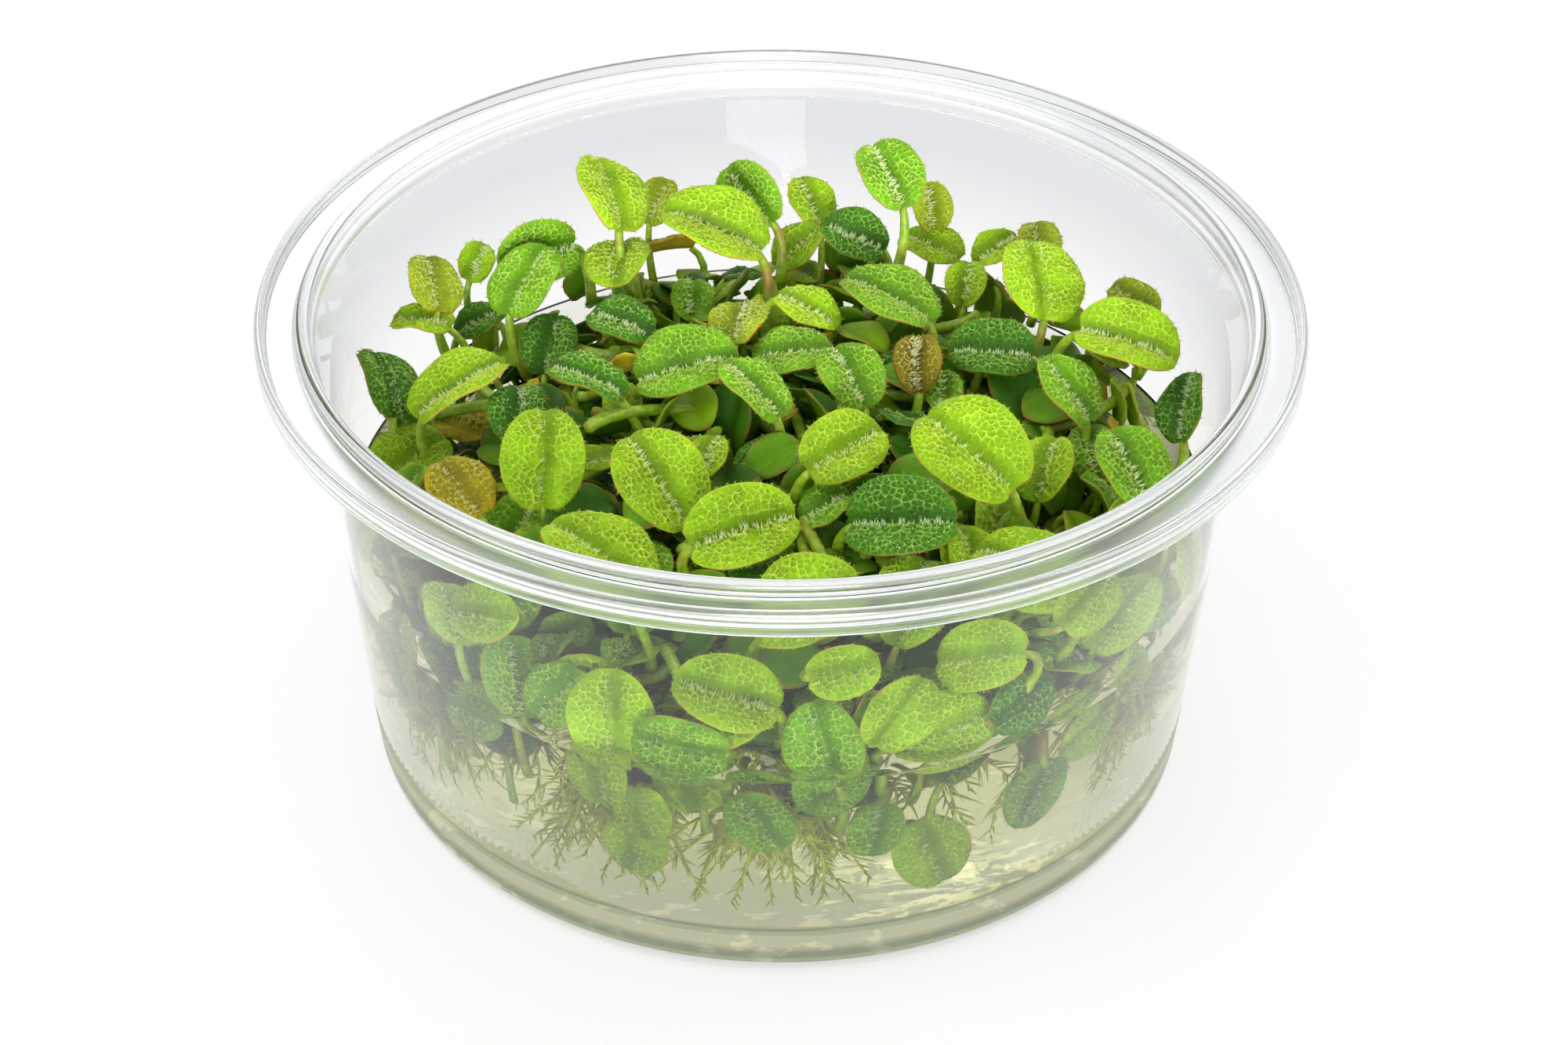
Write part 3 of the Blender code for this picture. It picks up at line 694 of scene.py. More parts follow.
def tube(shape, path, radii, sides, mark=(0, 0, 0, 1)):
    """A closed tube along a path, with its ends drawn to the path's end points."""
    ways = unit(np.gradient(path, axis=0))
    helper = np.array([0.0, 0.0, 1.0]) if abs(ways[0][2]) < 0.9 else np.array([1.0, 0.0, 0.0])
    aside = unit(np.cross(ways, helper))
    other = np.cross(ways, aside)
    turns = np.arange(sides) * 2 * math.pi / sides
    rings = (
        path[:, None]
        + aside[:, None] * (np.cos(turns)[None, :, None] * radii[:, None, None])
        + other[:, None] * (np.sin(turns)[None, :, None] * radii[:, None, None])
    )
    points = np.concatenate([rings.reshape(-1, 3), path[:1], path[-1:]])
    shape.add(points, skin_faces(len(path), sides, flip=True), mark)


def bezier(a, b, c, steps):
    share = np.linspace(0, 1, steps)[:, None]
    return (1 - share) ** 2 * a + 2 * share * (1 - share) * b + share ** 2 * c


def leaf_turn(leaf):
    return Euler((math.radians(leaf.roll), -math.radians(leaf.pitch), math.radians(leaf.heading)), "XYZ")


def near_half(matrix):
    """The half of a blade, 1 for +Y and -1 for -Y, that lies further to the tub's front and down."""
    side = matrix.to_3x3() @ Vector((0, 1, 0))
    return 1 if side.y + side.z < 0 else -1


def leaf_matrix(leaf):
    """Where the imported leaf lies: its top, measured in its own node, fixes its height."""
    turn = leaf_turn(leaf).to_matrix()
    sheet = blade_sheet(leaf.length * MM, leaf.fold)
    top = (sheet @ np.array(turn).T)[:, 2].max()
    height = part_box(leaf.name)[1][2] - top - PACKED_RISE
    return Matrix.LocRotScale(Vector((leaf.x * MM, leaf.y * MM, height)), turn.to_quaternion(), None)


def base_point(length):
    """Where the stalk meets the blade, in the blade's frame."""
    return np.array([-0.40 * length, 0, -0.05 * length])


def stalk_path(matrix, length, drop, inward, steps):
    """From the notch, back along the blade, then down and inwards into the heap."""
    turn = np.array(matrix)
    start = turn[:3, :3] @ base_point(length) + turn[:3, 3]
    back = turn[:3, :3] @ np.array([-1.0, 0, -0.7])
    middle = start + back * drop * 0.4
    to_axis = unit(np.array([-start[0], -start[1], 0]) + 1e-9)
    end = start + np.array([0, 0, -drop]) + to_axis * inward + back * drop * 0.15
    return bezier(start, middle, end, steps)


def heap_height(radius):
    """The height of the heap's skin at a distance from the tub's middle."""
    share = min(radius / HEAP_RADIUS, 1)
    return HEAP_EDGE + (HEAP_CROWN - HEAP_EDGE) * (1 - share ** 3)


def bore_radius(height):
    return FOOT_RADIUS + (NECK_RADIUS - FOOT_RADIUS) * height / NECK_HEIGHT - WALL


def facing(normal, spin):
    """A turn whose Z is the normal, with the tip direction spun about it."""
    turn = Vector(normal).to_track_quat("Z", "Y").to_matrix().to_4x4()
    return turn @ Matrix.Rotation(spin, 4, "Z")


def coarse_tree(matrix, length, fold):
    """A light stand-in of a blade, to test whether two blades cross."""
    sheet = blade_sheet(length, fold)
    turn = np.array(matrix)
    points = sheet @ turn[:3, :3].T + turn[:3, 3]
    faces = grid_faces(SHEET_STEPS, SHEET_STEPS)
    return BVHTree.FromPolygons(points.tolist(), faces.tolist()), points


def linear(red, green, blue):
    """A colour on a 0 to 255 scale, as the shader's linear values."""
    values = [channel / 255 for channel in (red, green, blue)]
    return tuple(v / 12.92 if v <= 0.04045 else ((v + 0.055) / 1.055) ** 2.4 for v in values) + (1,)


class Graph:
    """A node tree in the making."""

    def __init__(self, tree):
        self.nodes = tree.nodes
        self.links = tree.links

    def mix(self, factor, first, second):
        """A mix of two colours, each a value or a socket, by a socket."""
        mix = self.nodes.new("ShaderNodeMix")
        mix.data_type = "RGBA"
        mix.clamp_factor = True
        self.links.new(factor, mix.inputs["Factor"])
        for socket, value in ((mix.inputs["A"], first), (mix.inputs["B"], second)):
            if isinstance(value, tuple):
                socket.default_value = value
            else:
                self.links.new(value, socket)
        return mix.outputs["Result"]

    def combine(self, operation, *values):
        """One maths operation over sockets and decimal numbers."""
        node = self.nodes.new("ShaderNodeMath")
        node.operation = operation
        for socket, value in zip(node.inputs, values):
            if isinstance(value, float):
                socket.default_value = value
            else:
                self.links.new(value, socket)
        return node.outputs["Value"]

    def height(self, space="Object"):
        coordinates = self.nodes.new("ShaderNodeTexCoord")
        parts = self.nodes.new("ShaderNodeSeparateXYZ")
        self.links.new(coordinates.outputs[space], parts.inputs["Vector"])
        return parts.outputs["Z"]

    def marks(self):
        """A point's marks: the node that carries them, with tone as its alpha, and the first three apart."""
        marks = self.nodes.new("ShaderNodeVertexColor")
        marks.layer_name = "marks"
        parts = self.nodes.new("ShaderNodeSeparateColor")
        self.links.new(marks.outputs["Color"], parts.inputs["Color"])
        return marks, parts

    def noise(self, scale, detail=3.0, roughness=0.5):
        coordinates = self.nodes.new("ShaderNodeTexCoord")
        texture = self.nodes.new("ShaderNodeTexNoise")
        texture.inputs["Scale"].default_value = scale
        texture.inputs["Detail"].default_value = detail
        texture.inputs["Roughness"].default_value = roughness
        self.links.new(coordinates.outputs["Object"], texture.inputs["Vector"])
        return texture.outputs["Fac"]

    def span(self, value, low, high):
        """A socket's value carried from low..high to 0..1."""
        ramp = self.nodes.new("ShaderNodeMapRange")
        ramp.clamp = True
        ramp.inputs["From Min"].default_value = low
        ramp.inputs["From Max"].default_value = high
        self.links.new(value, ramp.inputs["Value"])
        return ramp.outputs["Result"]

    def bump(self, shader, strength, distance, scale, detail):
        """An uneven face, by noise."""
        bump = self.nodes.new("ShaderNodeBump")
        bump.inputs["Strength"].default_value = strength
        bump.inputs["Distance"].default_value = distance
        self.links.new(self.noise(scale, detail), bump.inputs["Height"])
        self.links.new(bump.outputs["Normal"], shader.inputs["Normal"])


def new_material(name):
    material = bpy.data.materials.new(name)
    material.use_nodes = True
    graph = Graph(material.node_tree)
    return material, graph, graph.nodes["Principled BSDF"]


# Each tone of leaf: in the cells, on the ridges, on the underside and along the edge
LEAF_TONES = {
    "lime": (linear(146, 194, 2), linear(212, 236, 84), linear(178, 208, 44), linear(190, 150, 62)),
    "green": (linear(108, 168, 4), linear(190, 226, 92), linear(144, 188, 40), linear(168, 132, 62)),
    "dark": (linear(62, 124, 4), linear(156, 206, 86), linear(104, 156, 32), linear(140, 94, 36)),
    "olive": (linear(152, 176, 6), linear(210, 222, 100), linear(186, 194, 44), linear(184, 84, 26)),
    "ochre": (linear(178, 162, 4), linear(220, 214, 84), linear(198, 180, 40), linear(184, 84, 26)),
    "rust": (linear(140, 128, 14), linear(200, 186, 86), linear(156, 116, 40), linear(150, 64, 26)),
}
BRISTLE = linear(238, 250, 196)

# The tub's clear plastic: the wall low down and near the rim, and the rim, which is mottled between two tints
LOW_WALL_TINT = (0.98, 0.98, 0.98, 1)
HIGH_WALL_TINT = (0.78, 0.79, 0.82, 1)
RIM_TINT = (0.90, 0.915, 0.935, 1)
PALE_RIM_TINT = (0.95, 0.96, 0.97, 1)
# The foot's tints by height in millimetres: a grey-green base ring of painted shade, cream painted highlight,
# a grey step line of painted shade and cream painted highlight again
PAINTED_SHADE_LINE = (0.55, 0.61, 0.57, 1)
PAINTED_HIGHLIGHT_LINE = (1.0, 0.95, 0.84, 1)
FOOT_TINT = (0.93, 0.94, 0.91, 1)
FOOT_PAINTED_LIGHT_BANDS = (
    (1.5, FOOT_TINT),
    (2.6, PAINTED_SHADE_LINE),
    (3.8, PAINTED_SHADE_LINE),
    (4.3, PAINTED_HIGHLIGHT_LINE),
    (4.9, PAINTED_HIGHLIGHT_LINE),
    (5.2, FOOT_TINT),
    (5.9, FOOT_TINT),
    (6.1, PAINTED_HIGHLIGHT_LINE),
    (6.4, PAINTED_HIGHLIGHT_LINE),
    (6.7, PAINTED_SHADE_LINE),
    (7.4, PAINTED_SHADE_LINE),
    (7.8, PAINTED_HIGHLIGHT_LINE),
    (8.3, PAINTED_HIGHLIGHT_LINE),
    (8.9, FOOT_TINT),
    (12.0, FOOT_TINT),
    (20.0, LOW_WALL_TINT),
)
# How far the bands waver up and down, in millimetres
BAND_WAVER = 0.25

# Where the water lies on the tub's floor: a grey-green ground with cream flecks of painted caustic light
WATER_FLOOR_TINT = (0.60, 0.63, 0.43, 1)
PAINTED_CAUSTIC_TINT = (1.0, 0.97, 0.66, 1)


def leaf_material(tone):
    """Leaf skin, a little translucent: deep green cells, pale ridges, a brown edge and a paler underside."""
    cell, ridge, under, edge = LEAF_TONES[tone]
    spine = tuple(0.5 * a + 0.5 * b for a, b in zip(ridge, BRISTLE))
    material, graph, shader = new_material("leaf_" + tone)
    marks, parts = graph.marks()
    patches = graph.span(graph.noise(260, 4), 0.35, 0.7)
    darker = tuple(channel * 0.6 for channel in cell[:3]) + (1,)
    ground = graph.mix(patches, darker, cell)
    grain = graph.span(graph.noise(3800, 2), 0.25, 0.6)
    broken = graph.combine("MULTIPLY", parts.outputs["Red"], grain)
    netted = graph.mix(broken, ground, ridge)
    bristled = graph.mix(graph.span(parts.outputs["Red"], 1.2, 1.8), netted, spine)
    turned = graph.mix(parts.outputs["Blue"], bristled, under)
    worn = graph.span(graph.noise(420, 2), 0.36, 0.62)
    edging = graph.combine("MULTIPLY", graph.span(parts.outputs["Green"], 0.3, 0.9), worn)
    coloured = graph.mix(edging, turned, edge)
    # The tone's value darkens the colour, and so paints shade in each blade's valley
    toned = graph.nodes.new("ShaderNodeHueSaturation")
    graph.links.new(coloured, toned.inputs["Color"])
    graph.links.new(marks.outputs["Alpha"], toned.inputs["Value"])
    graph.links.new(toned.outputs["Color"], shader.inputs["Base Color"])
    shader.inputs["Roughness"].default_value = 0.5
    shader.inputs["Specular IOR Level"].default_value = 0.15
    shader.inputs["Subsurface Weight"].default_value = 0.3
    shader.inputs["Subsurface Radius"].default_value = (0.9, 1.0, 0.1)
    shader.inputs["Subsurface Scale"].default_value = 1.2 * MM
    graph.bump(shader, 0.35, 0.12 * MM, 5200, 2)
    return material


def stem_material():
    """Stalks and stems: pale green, browner in patches, finely streaked."""
    material, graph, shader = new_material("stems")
    patches = graph.span(graph.noise(180, 3), 0.56, 0.72)
    streaks = graph.span(graph.noise(1400, 3), 0.3, 0.7)
    green = graph.mix(streaks, linear(112, 150, 12), linear(164, 192, 46))
    graph.links.new(graph.mix(patches, green, linear(150, 122, 50)), shader.inputs["Base Color"])
    shader.inputs["Roughness"].default_value = 0.45
    shader.inputs["Subsurface Weight"].default_value = 0.25
    shader.inputs["Subsurface Radius"].default_value = (0.6, 1.0, 0.2)
    shader.inputs["Subsurface Scale"].default_value = 1.0 * MM
    graph.bump(shader, 0.3, 0.1 * MM, 3000, 2)
    return material


def root_material():
    """Roots: yellow-green strands that pale to straw at their hairs."""
    material, graph, shader = new_material("roots")
    _, parts = graph.marks()
    patches = graph.span(graph.noise(220, 3), 0.35, 0.65)
    strand = graph.mix(patches, linear(150, 176, 4), linear(190, 206, 26))
    hair = graph.mix(patches, linear(172, 194, 16), linear(208, 218, 62))
    graph.links.new(graph.mix(parts.outputs["Red"], strand, hair), shader.inputs["Base Color"])
    shader.inputs["Roughness"].default_value = 0.5
    return material


def finish_plastic(graph, shader, ior, blur):
    """What wall and rim share: plain transmission, a slight uneven haze and a gently uneven face."""
    shader.inputs["Transmission Weight"].default_value = 1.0
    shader.inputs["IOR"].default_value = ior
    haze = graph.span(graph.noise(60, 4), 0.3, 0.8)
    graph.links.new(graph.combine("MULTIPLY_ADD", haze, 0.02, blur), shader.inputs["Roughness"])
    graph.bump(shader, 0.08, 0.3 * MM, 120, 2)


def rim_plastic():
    """The thick rolled rim: clear, softly blurred and bright with reflections."""
    material, graph, shader = new_material("clear_rim")
    cloud = graph.span(graph.noise(70, 3), 0.3, 0.7)
    graph.links.new(graph.mix(cloud, RIM_TINT, PALE_RIM_TINT), shader.inputs["Base Color"])
    finish_plastic(graph, shader, 1.58, 0.15)
    return material


def wall_plastic():
    """The thin moulded wall: clear, cooler towards the rim, with bands of painted highlight in cream and
    lines of painted shade in grey at the foot.
    """
    material, graph, shader = new_material("clear_tub")
    height = graph.height()
    wavering = graph.combine("MULTIPLY_ADD", graph.noise(90, 3), 2 * BAND_WAVER * MM, height)
    low, high = FOOT_PAINTED_LIGHT_BANDS[0][0], FOOT_PAINTED_LIGHT_BANDS[-1][0]
    banded = graph.span(wavering, (low + BAND_WAVER) * MM, (high + BAND_WAVER) * MM)
    # Painted highlights and painted shade in bands round the foot
    painted_light_bands = graph.nodes.new("ShaderNodeValToRGB")
    stops = painted_light_bands.color_ramp.elements
    stops[0].color = FOOT_PAINTED_LIGHT_BANDS[0][1]
    stops[1].color = FOOT_PAINTED_LIGHT_BANDS[-1][1]
    for height_mm, colour in FOOT_PAINTED_LIGHT_BANDS[1:-1]:
        stops.new((height_mm - low) / (high - low)).color = colour
    graph.links.new(banded, painted_light_bands.inputs["Fac"])
    rising = graph.span(height, 36 * MM, 50 * MM)
    wall = graph.mix(rising, painted_light_bands.outputs["Color"], HIGH_WALL_TINT)
    graph.links.new(wall, shader.inputs["Base Color"])
    finish_plastic(graph, shader, 1.31, 0.0)
    shader.inputs["Specular Tint"].default_value = (0.5, 0.5, 0.5, 1)
    return material


def water_material():
    """Water with a yellow-green cast, and low down the ground that shows on the tub's floor, flecked with
    painted caustic light.
    """
    material, graph, shader = new_material("water")
    # Cream flecks that paint caustic light on the ground
    flecks = graph.span(graph.noise(230, 3, 0.55), 0.57, 0.62)
    ground = graph.mix(flecks, WATER_FLOOR_TINT, PAINTED_CAUSTIC_TINT)
    upper = graph.span(graph.height(), 2 * MM, 4 * MM)
    graph.links.new(graph.mix(upper, ground, (1, 1, 1, 1)), shader.inputs["Base Color"])
    shader.inputs["Transmission Weight"].default_value = 1.0
    shader.inputs["IOR"].default_value = 1.333
    absorption = graph.nodes.new("ShaderNodeVolumeAbsorption")
    absorption.inputs["Color"].default_value = (0.95, 0.95, 0.38, 1)
    absorption.inputs["Density"].default_value = 14
    graph.links.new(absorption.outputs["Volume"], graph.nodes["Material Output"].inputs["Volume"])
    shader.inputs["Roughness"].default_value = 0.0
    graph.bump(shader, 0.08, 0.8 * MM, 130, 2)
    return material


def lathe(name, profile, material):
    """A smooth closed shell turned about Z from (radius, height) points that start and end on the axis."""
    turns = np.arange(TUB_SEGMENTS) * 2 * math.pi / TUB_SEGMENTS
    heights = np.array(profile)[:, 1:]
    radii = np.array(profile[1:-1])[:, :1]
    rings = np.stack([
        radii * np.cos(turns), radii * np.sin(turns), np.repeat(heights[1:-1], TUB_SEGMENTS, axis=1),
    ], axis=-1)
    points = np.concatenate([rings.reshape(-1, 3), [[0, 0, profile[0][1]]], [[0, 0, profile[-1][1]]]])
    shape = Shape()
    shape.add(points, skin_faces(len(radii), TUB_SEGMENTS), (0, 0, 0, 0))
    return shape.make(name, material)


def arc(middle, radius, start, end, steps):
    turns = [math.radians(start + (end - start) * i / steps) for i in range(steps + 1)]
    return [(middle[0] + radius * math.cos(a), middle[1] + radius * math.sin(a)) for a in turns]


def make_tub():
    """The clear shell: floor, rounded foot, tapered wall, inner bead, groove and a lip that turns down."""
    inner = CORNER - WALL
    bead = 0.75 * MM
    bead_middle = (NECK_RADIUS + 0.6 * MM, TUB_HEIGHT - bead)
    groove = TUB_HEIGHT - 1.3 * MM
    bend = 0.45 * MM
    under = groove - WALL
    under_corner = 0.4 * MM
    throat = 0.9 * MM
    lip = 0.5 * MM
    lip_foot = TUB_HEIGHT - 3.0 * MM
    edge = 0.35 * MM
    wall_at_corner = bore_radius(CORNER) + WALL
    profile = [(0, FLOOR)]
    profile += arc((bore_radius(FLOOR) - inner, FLOOR + inner), inner, 270, 360, 10)
    profile.append((bore_radius(NECK_HEIGHT), NECK_HEIGHT + 1.2 * MM))
    profile += arc(bead_middle, bead, 180, 0, 14)
    profile += arc((bead_middle[0] + bead + bend, groove + bend), bend, 180, 270, 5)
    profile += arc((RIM_RADIUS - 2 * lip - edge, groove + edge), edge, 270, 360, 5)
    profile += arc((RIM_RADIUS - lip, TUB_HEIGHT - lip), lip, 180, 0, 10)
    profile += arc((RIM_RADIUS - edge, lip_foot + edge), edge, 0, -180, 8)
    profile += arc((RIM_RADIUS - 1.5 * MM, under - under_corner), under_corner, 0, 90, 4)
    profile += arc((NECK_RADIUS + 1.5 * MM, under - throat), throat, 90, 180, 5)
    profile += arc((NECK_RADIUS + 0.4 * MM, NECK_HEIGHT + 0.7 * MM), edge, 0, -110, 5)
    profile.append((NECK_RADIUS, NECK_HEIGHT))
    at_step = bore_radius(STEP_LINE) + WALL
    for depth, rise in ((0, 0.5), (0.25, 0.2), (0.25, -0.2), (0, -0.5)):
        profile.append((at_step - depth * MM, STEP_LINE + rise * MM))
    profile += arc((wall_at_corner - CORNER, CORNER), CORNER, 0, -90, 12)
    profile.append((0, 0))
    tub = lathe("tub_shell", profile, wall_plastic())
    tub.data.materials.append(rim_plastic())
    for polygon in tub.data.polygons:
        polygon.material_index = int(polygon.center.z > NECK_HEIGHT + 0.2 * MM)
    dress(tub, "tub")


def make_water():
    """The water, one clear body that laps a little way up the wall and just into its inner face."""
    side = bore_radius(WATER_LEVEL) + WATER_LAP
    low_side = bore_radius(CORNER) + WATER_LAP
    corner = CORNER - WALL
    bottom = FLOOR - WATER_LAP
    profile = [(0, WATER_LEVEL)]
    profile += [(radius * MM, WATER_LEVEL) for radius in WATER_RINGS]
    for inset, rise in ((0.5, 0.03), (0, 0.25), (0, 0)):
        profile.append((side - inset * MM, WATER_LEVEL + rise * MM))
    profile += arc((low_side - corner, bottom + corner), corner, 0, -90, 8)
    profile.append((0, bottom))
    dress(lathe("water_body", profile, water_material()), "water")


def add_leaf(shape, stems, matrix, length, fold, finish, rng):
    """A netted blade of its own in the shape, and its stalk in the stems."""
    blade = Shape()
    tone = rng.uniform(*finish.tones)
    hairs = finish.edge_hairs + round(finish.hairs_a_mm * length / MM)
    add_netted_blade(blade, length, fold, CELL, rng, tone, finish.bristles, hairs, near=near_half(matrix))
    shape.add_shape(blade, matrix)
    path = stalk_path(matrix, length, finish.drop * MM, finish.inward * MM, finish.steps)
    tube(stems, path, np.linspace(finish.thin, finish.thick, finish.steps) * MM, finish.sides)


def make_whole_leaves(materials, stems, rng):
    """Every leaf that shows whole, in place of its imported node; returns the trees for others to clear."""
    trees = []
    for leaf in LEAVES:
        length = leaf.length * MM
        matrix = leaf_matrix(leaf)
        finish = WHOLE_FINISH._replace(drop=HANGING_DROP) if leaf.name in HANGING else WHOLE_FINISH
        shape = Shape()
        add_leaf(shape, stems, matrix, length, leaf.fold, finish, rng)
        dress(shape.make(leaf.name + "_blade", materials[leaf.tone]), leaf.name)
        trees.append(coarse_tree(matrix, length, leaf.fold))
    return trees


def clears(tree, points, others, reach):
    """True where a blade crosses none of the blades near it."""
    middle = points.mean(axis=0)
    for other, other_points in others:
        if np.linalg.norm(other_points.mean(axis=0) - middle) < reach and tree.overlap(other):
            return False
    return True


def scatter(zone, count, tries, others, rng):
    """Places for leaves drawn from a zone, each kept only where it crosses no leaf placed before it."""
    kept = []
    for _ in range(tries):
        if len(kept) == count:
            break
        place, normal, length = zone(rng)
        fold = rng.uniform(*FOLDS)
        matrix = Matrix.Translation(Vector(place)) @ facing(normal, rng.uniform(0, 2 * math.pi))
        tree, points = coarse_tree(matrix, length, fold)
        limit = bore_radius(points[:, 2].mean()) - SCATTERED_WALL_GAP
        if (np.hypot(points[:, 0], points[:, 1]) > limit).any() or points[:, 2].max() > LEAF_CEILING:
            continue
        if clears(tree, points, others, SCATTERED_REACH):
            others.append((tree, points))
            kept.append((matrix, length))
    return kept


def top_zone(rng):
    """Just under the heap's skin, faces mostly up."""
    radius = HEAP_RADIUS * math.sqrt(rng.uniform(0, 0.98))
    outward = outward_at(rng.uniform(0, 2 * math.pi))
    height = heap_height(radius) - rng.uniform(2.5, 7.5) * MM
    normal = np.array([0, 0, 1.0]) + outward * 0.35 * radius / HEAP_RADIUS + rng.normal(0, 0.38, 3)
    return outward * radius + [0, 0, height], normal, rng.uniform(5.5, 9.5) * MM


def deep_zone(rng):
    """Down in the heap, any way round."""
    radius = DEEP_RADIUS * math.sqrt(rng.uniform(0, 1))
    outward = outward_at(rng.uniform(0, 2 * math.pi))
    top = heap_height(radius) - 4 * MM
    height = top - (top - HEAP_BOTTOM - 2 * MM) * rng.uniform(0, 1) ** 1.6
    normal = np.array([0, 0, 1.0]) + outward * 0.5 + rng.normal(0, 0.5, 3)
    return outward * radius + [0, 0, height], normal, rng.uniform(7, 11) * MM


def wall_zone(rng):
    """Against the tub's wall, faces turned out to it."""
    outward = outward_at(rng.uniform(0, 2 * math.pi))
    height = HEAP_BOTTOM + (HEAP_EDGE + 3 * MM - HEAP_BOTTOM) * rng.uniform(0.05, 1)
    radius = bore_radius(height) - rng.uniform(6, 11) * MM
    normal = outward + np.array([0, 0, 1.0]) * rng.uniform(0, 1.3) + rng.normal(0, 0.25, 3)
    return outward * radius + [0, 0, height], normal, rng.uniform(7, 11) * MM


def settle(places, length, fold, trees):
    """The first of some places at which a blade clears the wall and every blade placed before it, or None."""
    for matrix in places:
        tree, points = coarse_tree(matrix, length, fold)
        reach = np.hypot(points[:, 0], points[:, 1]) - bore_radius(points[:, 2])
        if (reach < -PLACED_WALL_GAP).all() and clears(tree, points, trees, PLACED_REACH):
            trees.append((tree, points))
            return matrix
    return None


def make_skin_leaves(materials, stems, trees, rng):
    """The smaller leaves on the heap's skin, each lowered until it crosses no other, or left out."""
    shapes = {}
    for leaf in SKIN_LEAVES:
        length = leaf.length * MM
        turn = leaf_turn(leaf).to_quaternion()
        matrix = settle((
            Matrix.LocRotScale(Vector((leaf.x * MM, leaf.y * MM, (leaf.z - 0.5 * sink) * MM)), turn, None)
            for sink in range(14)
        ), length, leaf.fold, trees)
        if matrix is None:
            continue
        shape = shapes.setdefault(leaf.tone, Shape())
        add_leaf(shape, stems, matrix, length, leaf.fold, SKIN_FINISH, rng)
    dress_by_tone("skin_leaves", shapes, materials)


def make_wall_leaves(materials, stems, trees, rng):
    """The smaller leaves against the wall, each moved in until it crosses no other, or left out."""
    shapes = {}
    for leaf in WALL_LEAVES:
        bearing = math.radians(leaf.bearing)
        outward = np.array([math.sin(bearing), -math.cos(bearing), 0])
        lean = math.radians(leaf.lean)
        normal = outward * math.cos(lean) + np.array([0, 0, math.sin(lean)])
        height = leaf.height * MM
        length = leaf.length * MM
        fold = rng.uniform(10, 20)
        turn = facing(normal, math.radians(leaf.turn))
        depths = (bore_radius(height) - (leaf.depth + 0.5 * push) * MM for push in range(16))
        matrix = settle((
            Matrix.Translation(Vector(outward * depth + [0, 0, height])) @ turn for depth in depths
        ), length, fold, trees)
        if matrix is None:
            continue
        shape = shapes.setdefault(leaf.tone, Shape())
        add_leaf(shape, stems, matrix, length, fold, WALL_FINISH, rng)
    dress_by_tone("wall_leaves", shapes, materials)


def small_blades(rng, kinds):
    """A few netted blades of unit tone, to be placed many times."""
    made = []
    for _ in range(kinds):
        shape = Shape()
        fold = rng.uniform(*FOLDS)
        add_netted_blade(
            shape, STOCK_LENGTH, fold, SMALL_LEAF_CELL, rng, 1.0, bristles=60, edge_hairs=30, wave=0.4 * MM,
        )
        made.append(shape)
    return made


def plain_blades(rng, kinds):
    """A few plain blades of unit tone, to be placed many times."""
    made = []
    for _ in range(kinds):
        shape = Shape()
        add_plain_blade(shape, STOCK_LENGTH, rng.uniform(*FOLDS))
        made.append(shape)
    return made


def place_blades(name, places, kinds, tones, values, materials, stems, rng):
    """The scattered leaves of one zone, joined by tone, with their stalks added to the stems."""
    by_tone = {}
    for matrix, length in places:
        tone = rng.choice(list(tones), p=list(tones.values()))
        shape = by_tone.setdefault(tone, Shape())
        kind = kinds[rng.integers(len(kinds))]
        start = len(shape.marks)
        shape.add_shape(kind, matrix @ Matrix.Scale(length / STOCK_LENGTH, 4))
        value = rng.uniform(*values)
        shape.marks[start:] = [marks * [1, 1, 1, value] for marks in shape.marks[start:]]
        path = stalk_path(matrix, length, rng.uniform(3, 7) * MM, rng.uniform(1, 3) * MM, 5)
        tube(stems, path, np.linspace(0.42, 0.6, 5) * MM, 5)
    dress_by_tone(name, by_tone, materials)


def make_heap(materials, stems, trees, rng):
    """The small and half-hidden leaves between and under the whole ones."""
    near = scatter(top_zone, count=70, tries=2600, others=trees, rng=rng)
    near += scatter(wall_zone, count=60, tries=2200, others=trees, rng=rng)
    deep = scatter(deep_zone, count=320, tries=6000, others=trees, rng=rng)
    near_kinds = small_blades(rng, kinds=8)
    deep_kinds = plain_blades(rng, kinds=6)
    near_tones = {"lime": 0.3, "green": 0.42, "dark": 0.26, "ochre": 0.02}
    # Deep leaves take more of the dark tone and a lower value: painted shade for leaves down in the heap
    deep_tones_with_painted_shade = {"lime": 0.12, "green": 0.44, "dark": 0.44}
    place_blades("heap_leaves", near, near_kinds, near_tones, (0.6, 1.0), materials, stems, rng)
    place_blades("deep_leaves", deep, deep_kinds, deep_tones_with_painted_shade, (0.55, 0.95), materials, stems, rng)


def painted_shade_material():
    """Painted shade for the heap's inside: dark greens, mottled as crowded leaves are."""
    material, graph, shader = new_material("heap_painted_shade")
    patches = graph.span(graph.noise(170, 4), 0.4, 0.6)
    flecks = graph.span(graph.noise(620, 3), 0.5, 0.66)
    ground = graph.mix(patches, linear(18, 44, 8), linear(44, 84, 16))
    graph.links.new(graph.mix(flecks, ground, linear(96, 132, 40)), shader.inputs["Base Color"])
    shader.inputs["Roughness"].default_value = 0.6
    graph.bump(shader, 0.6, 0.6 * MM, 500, 4)
    return material


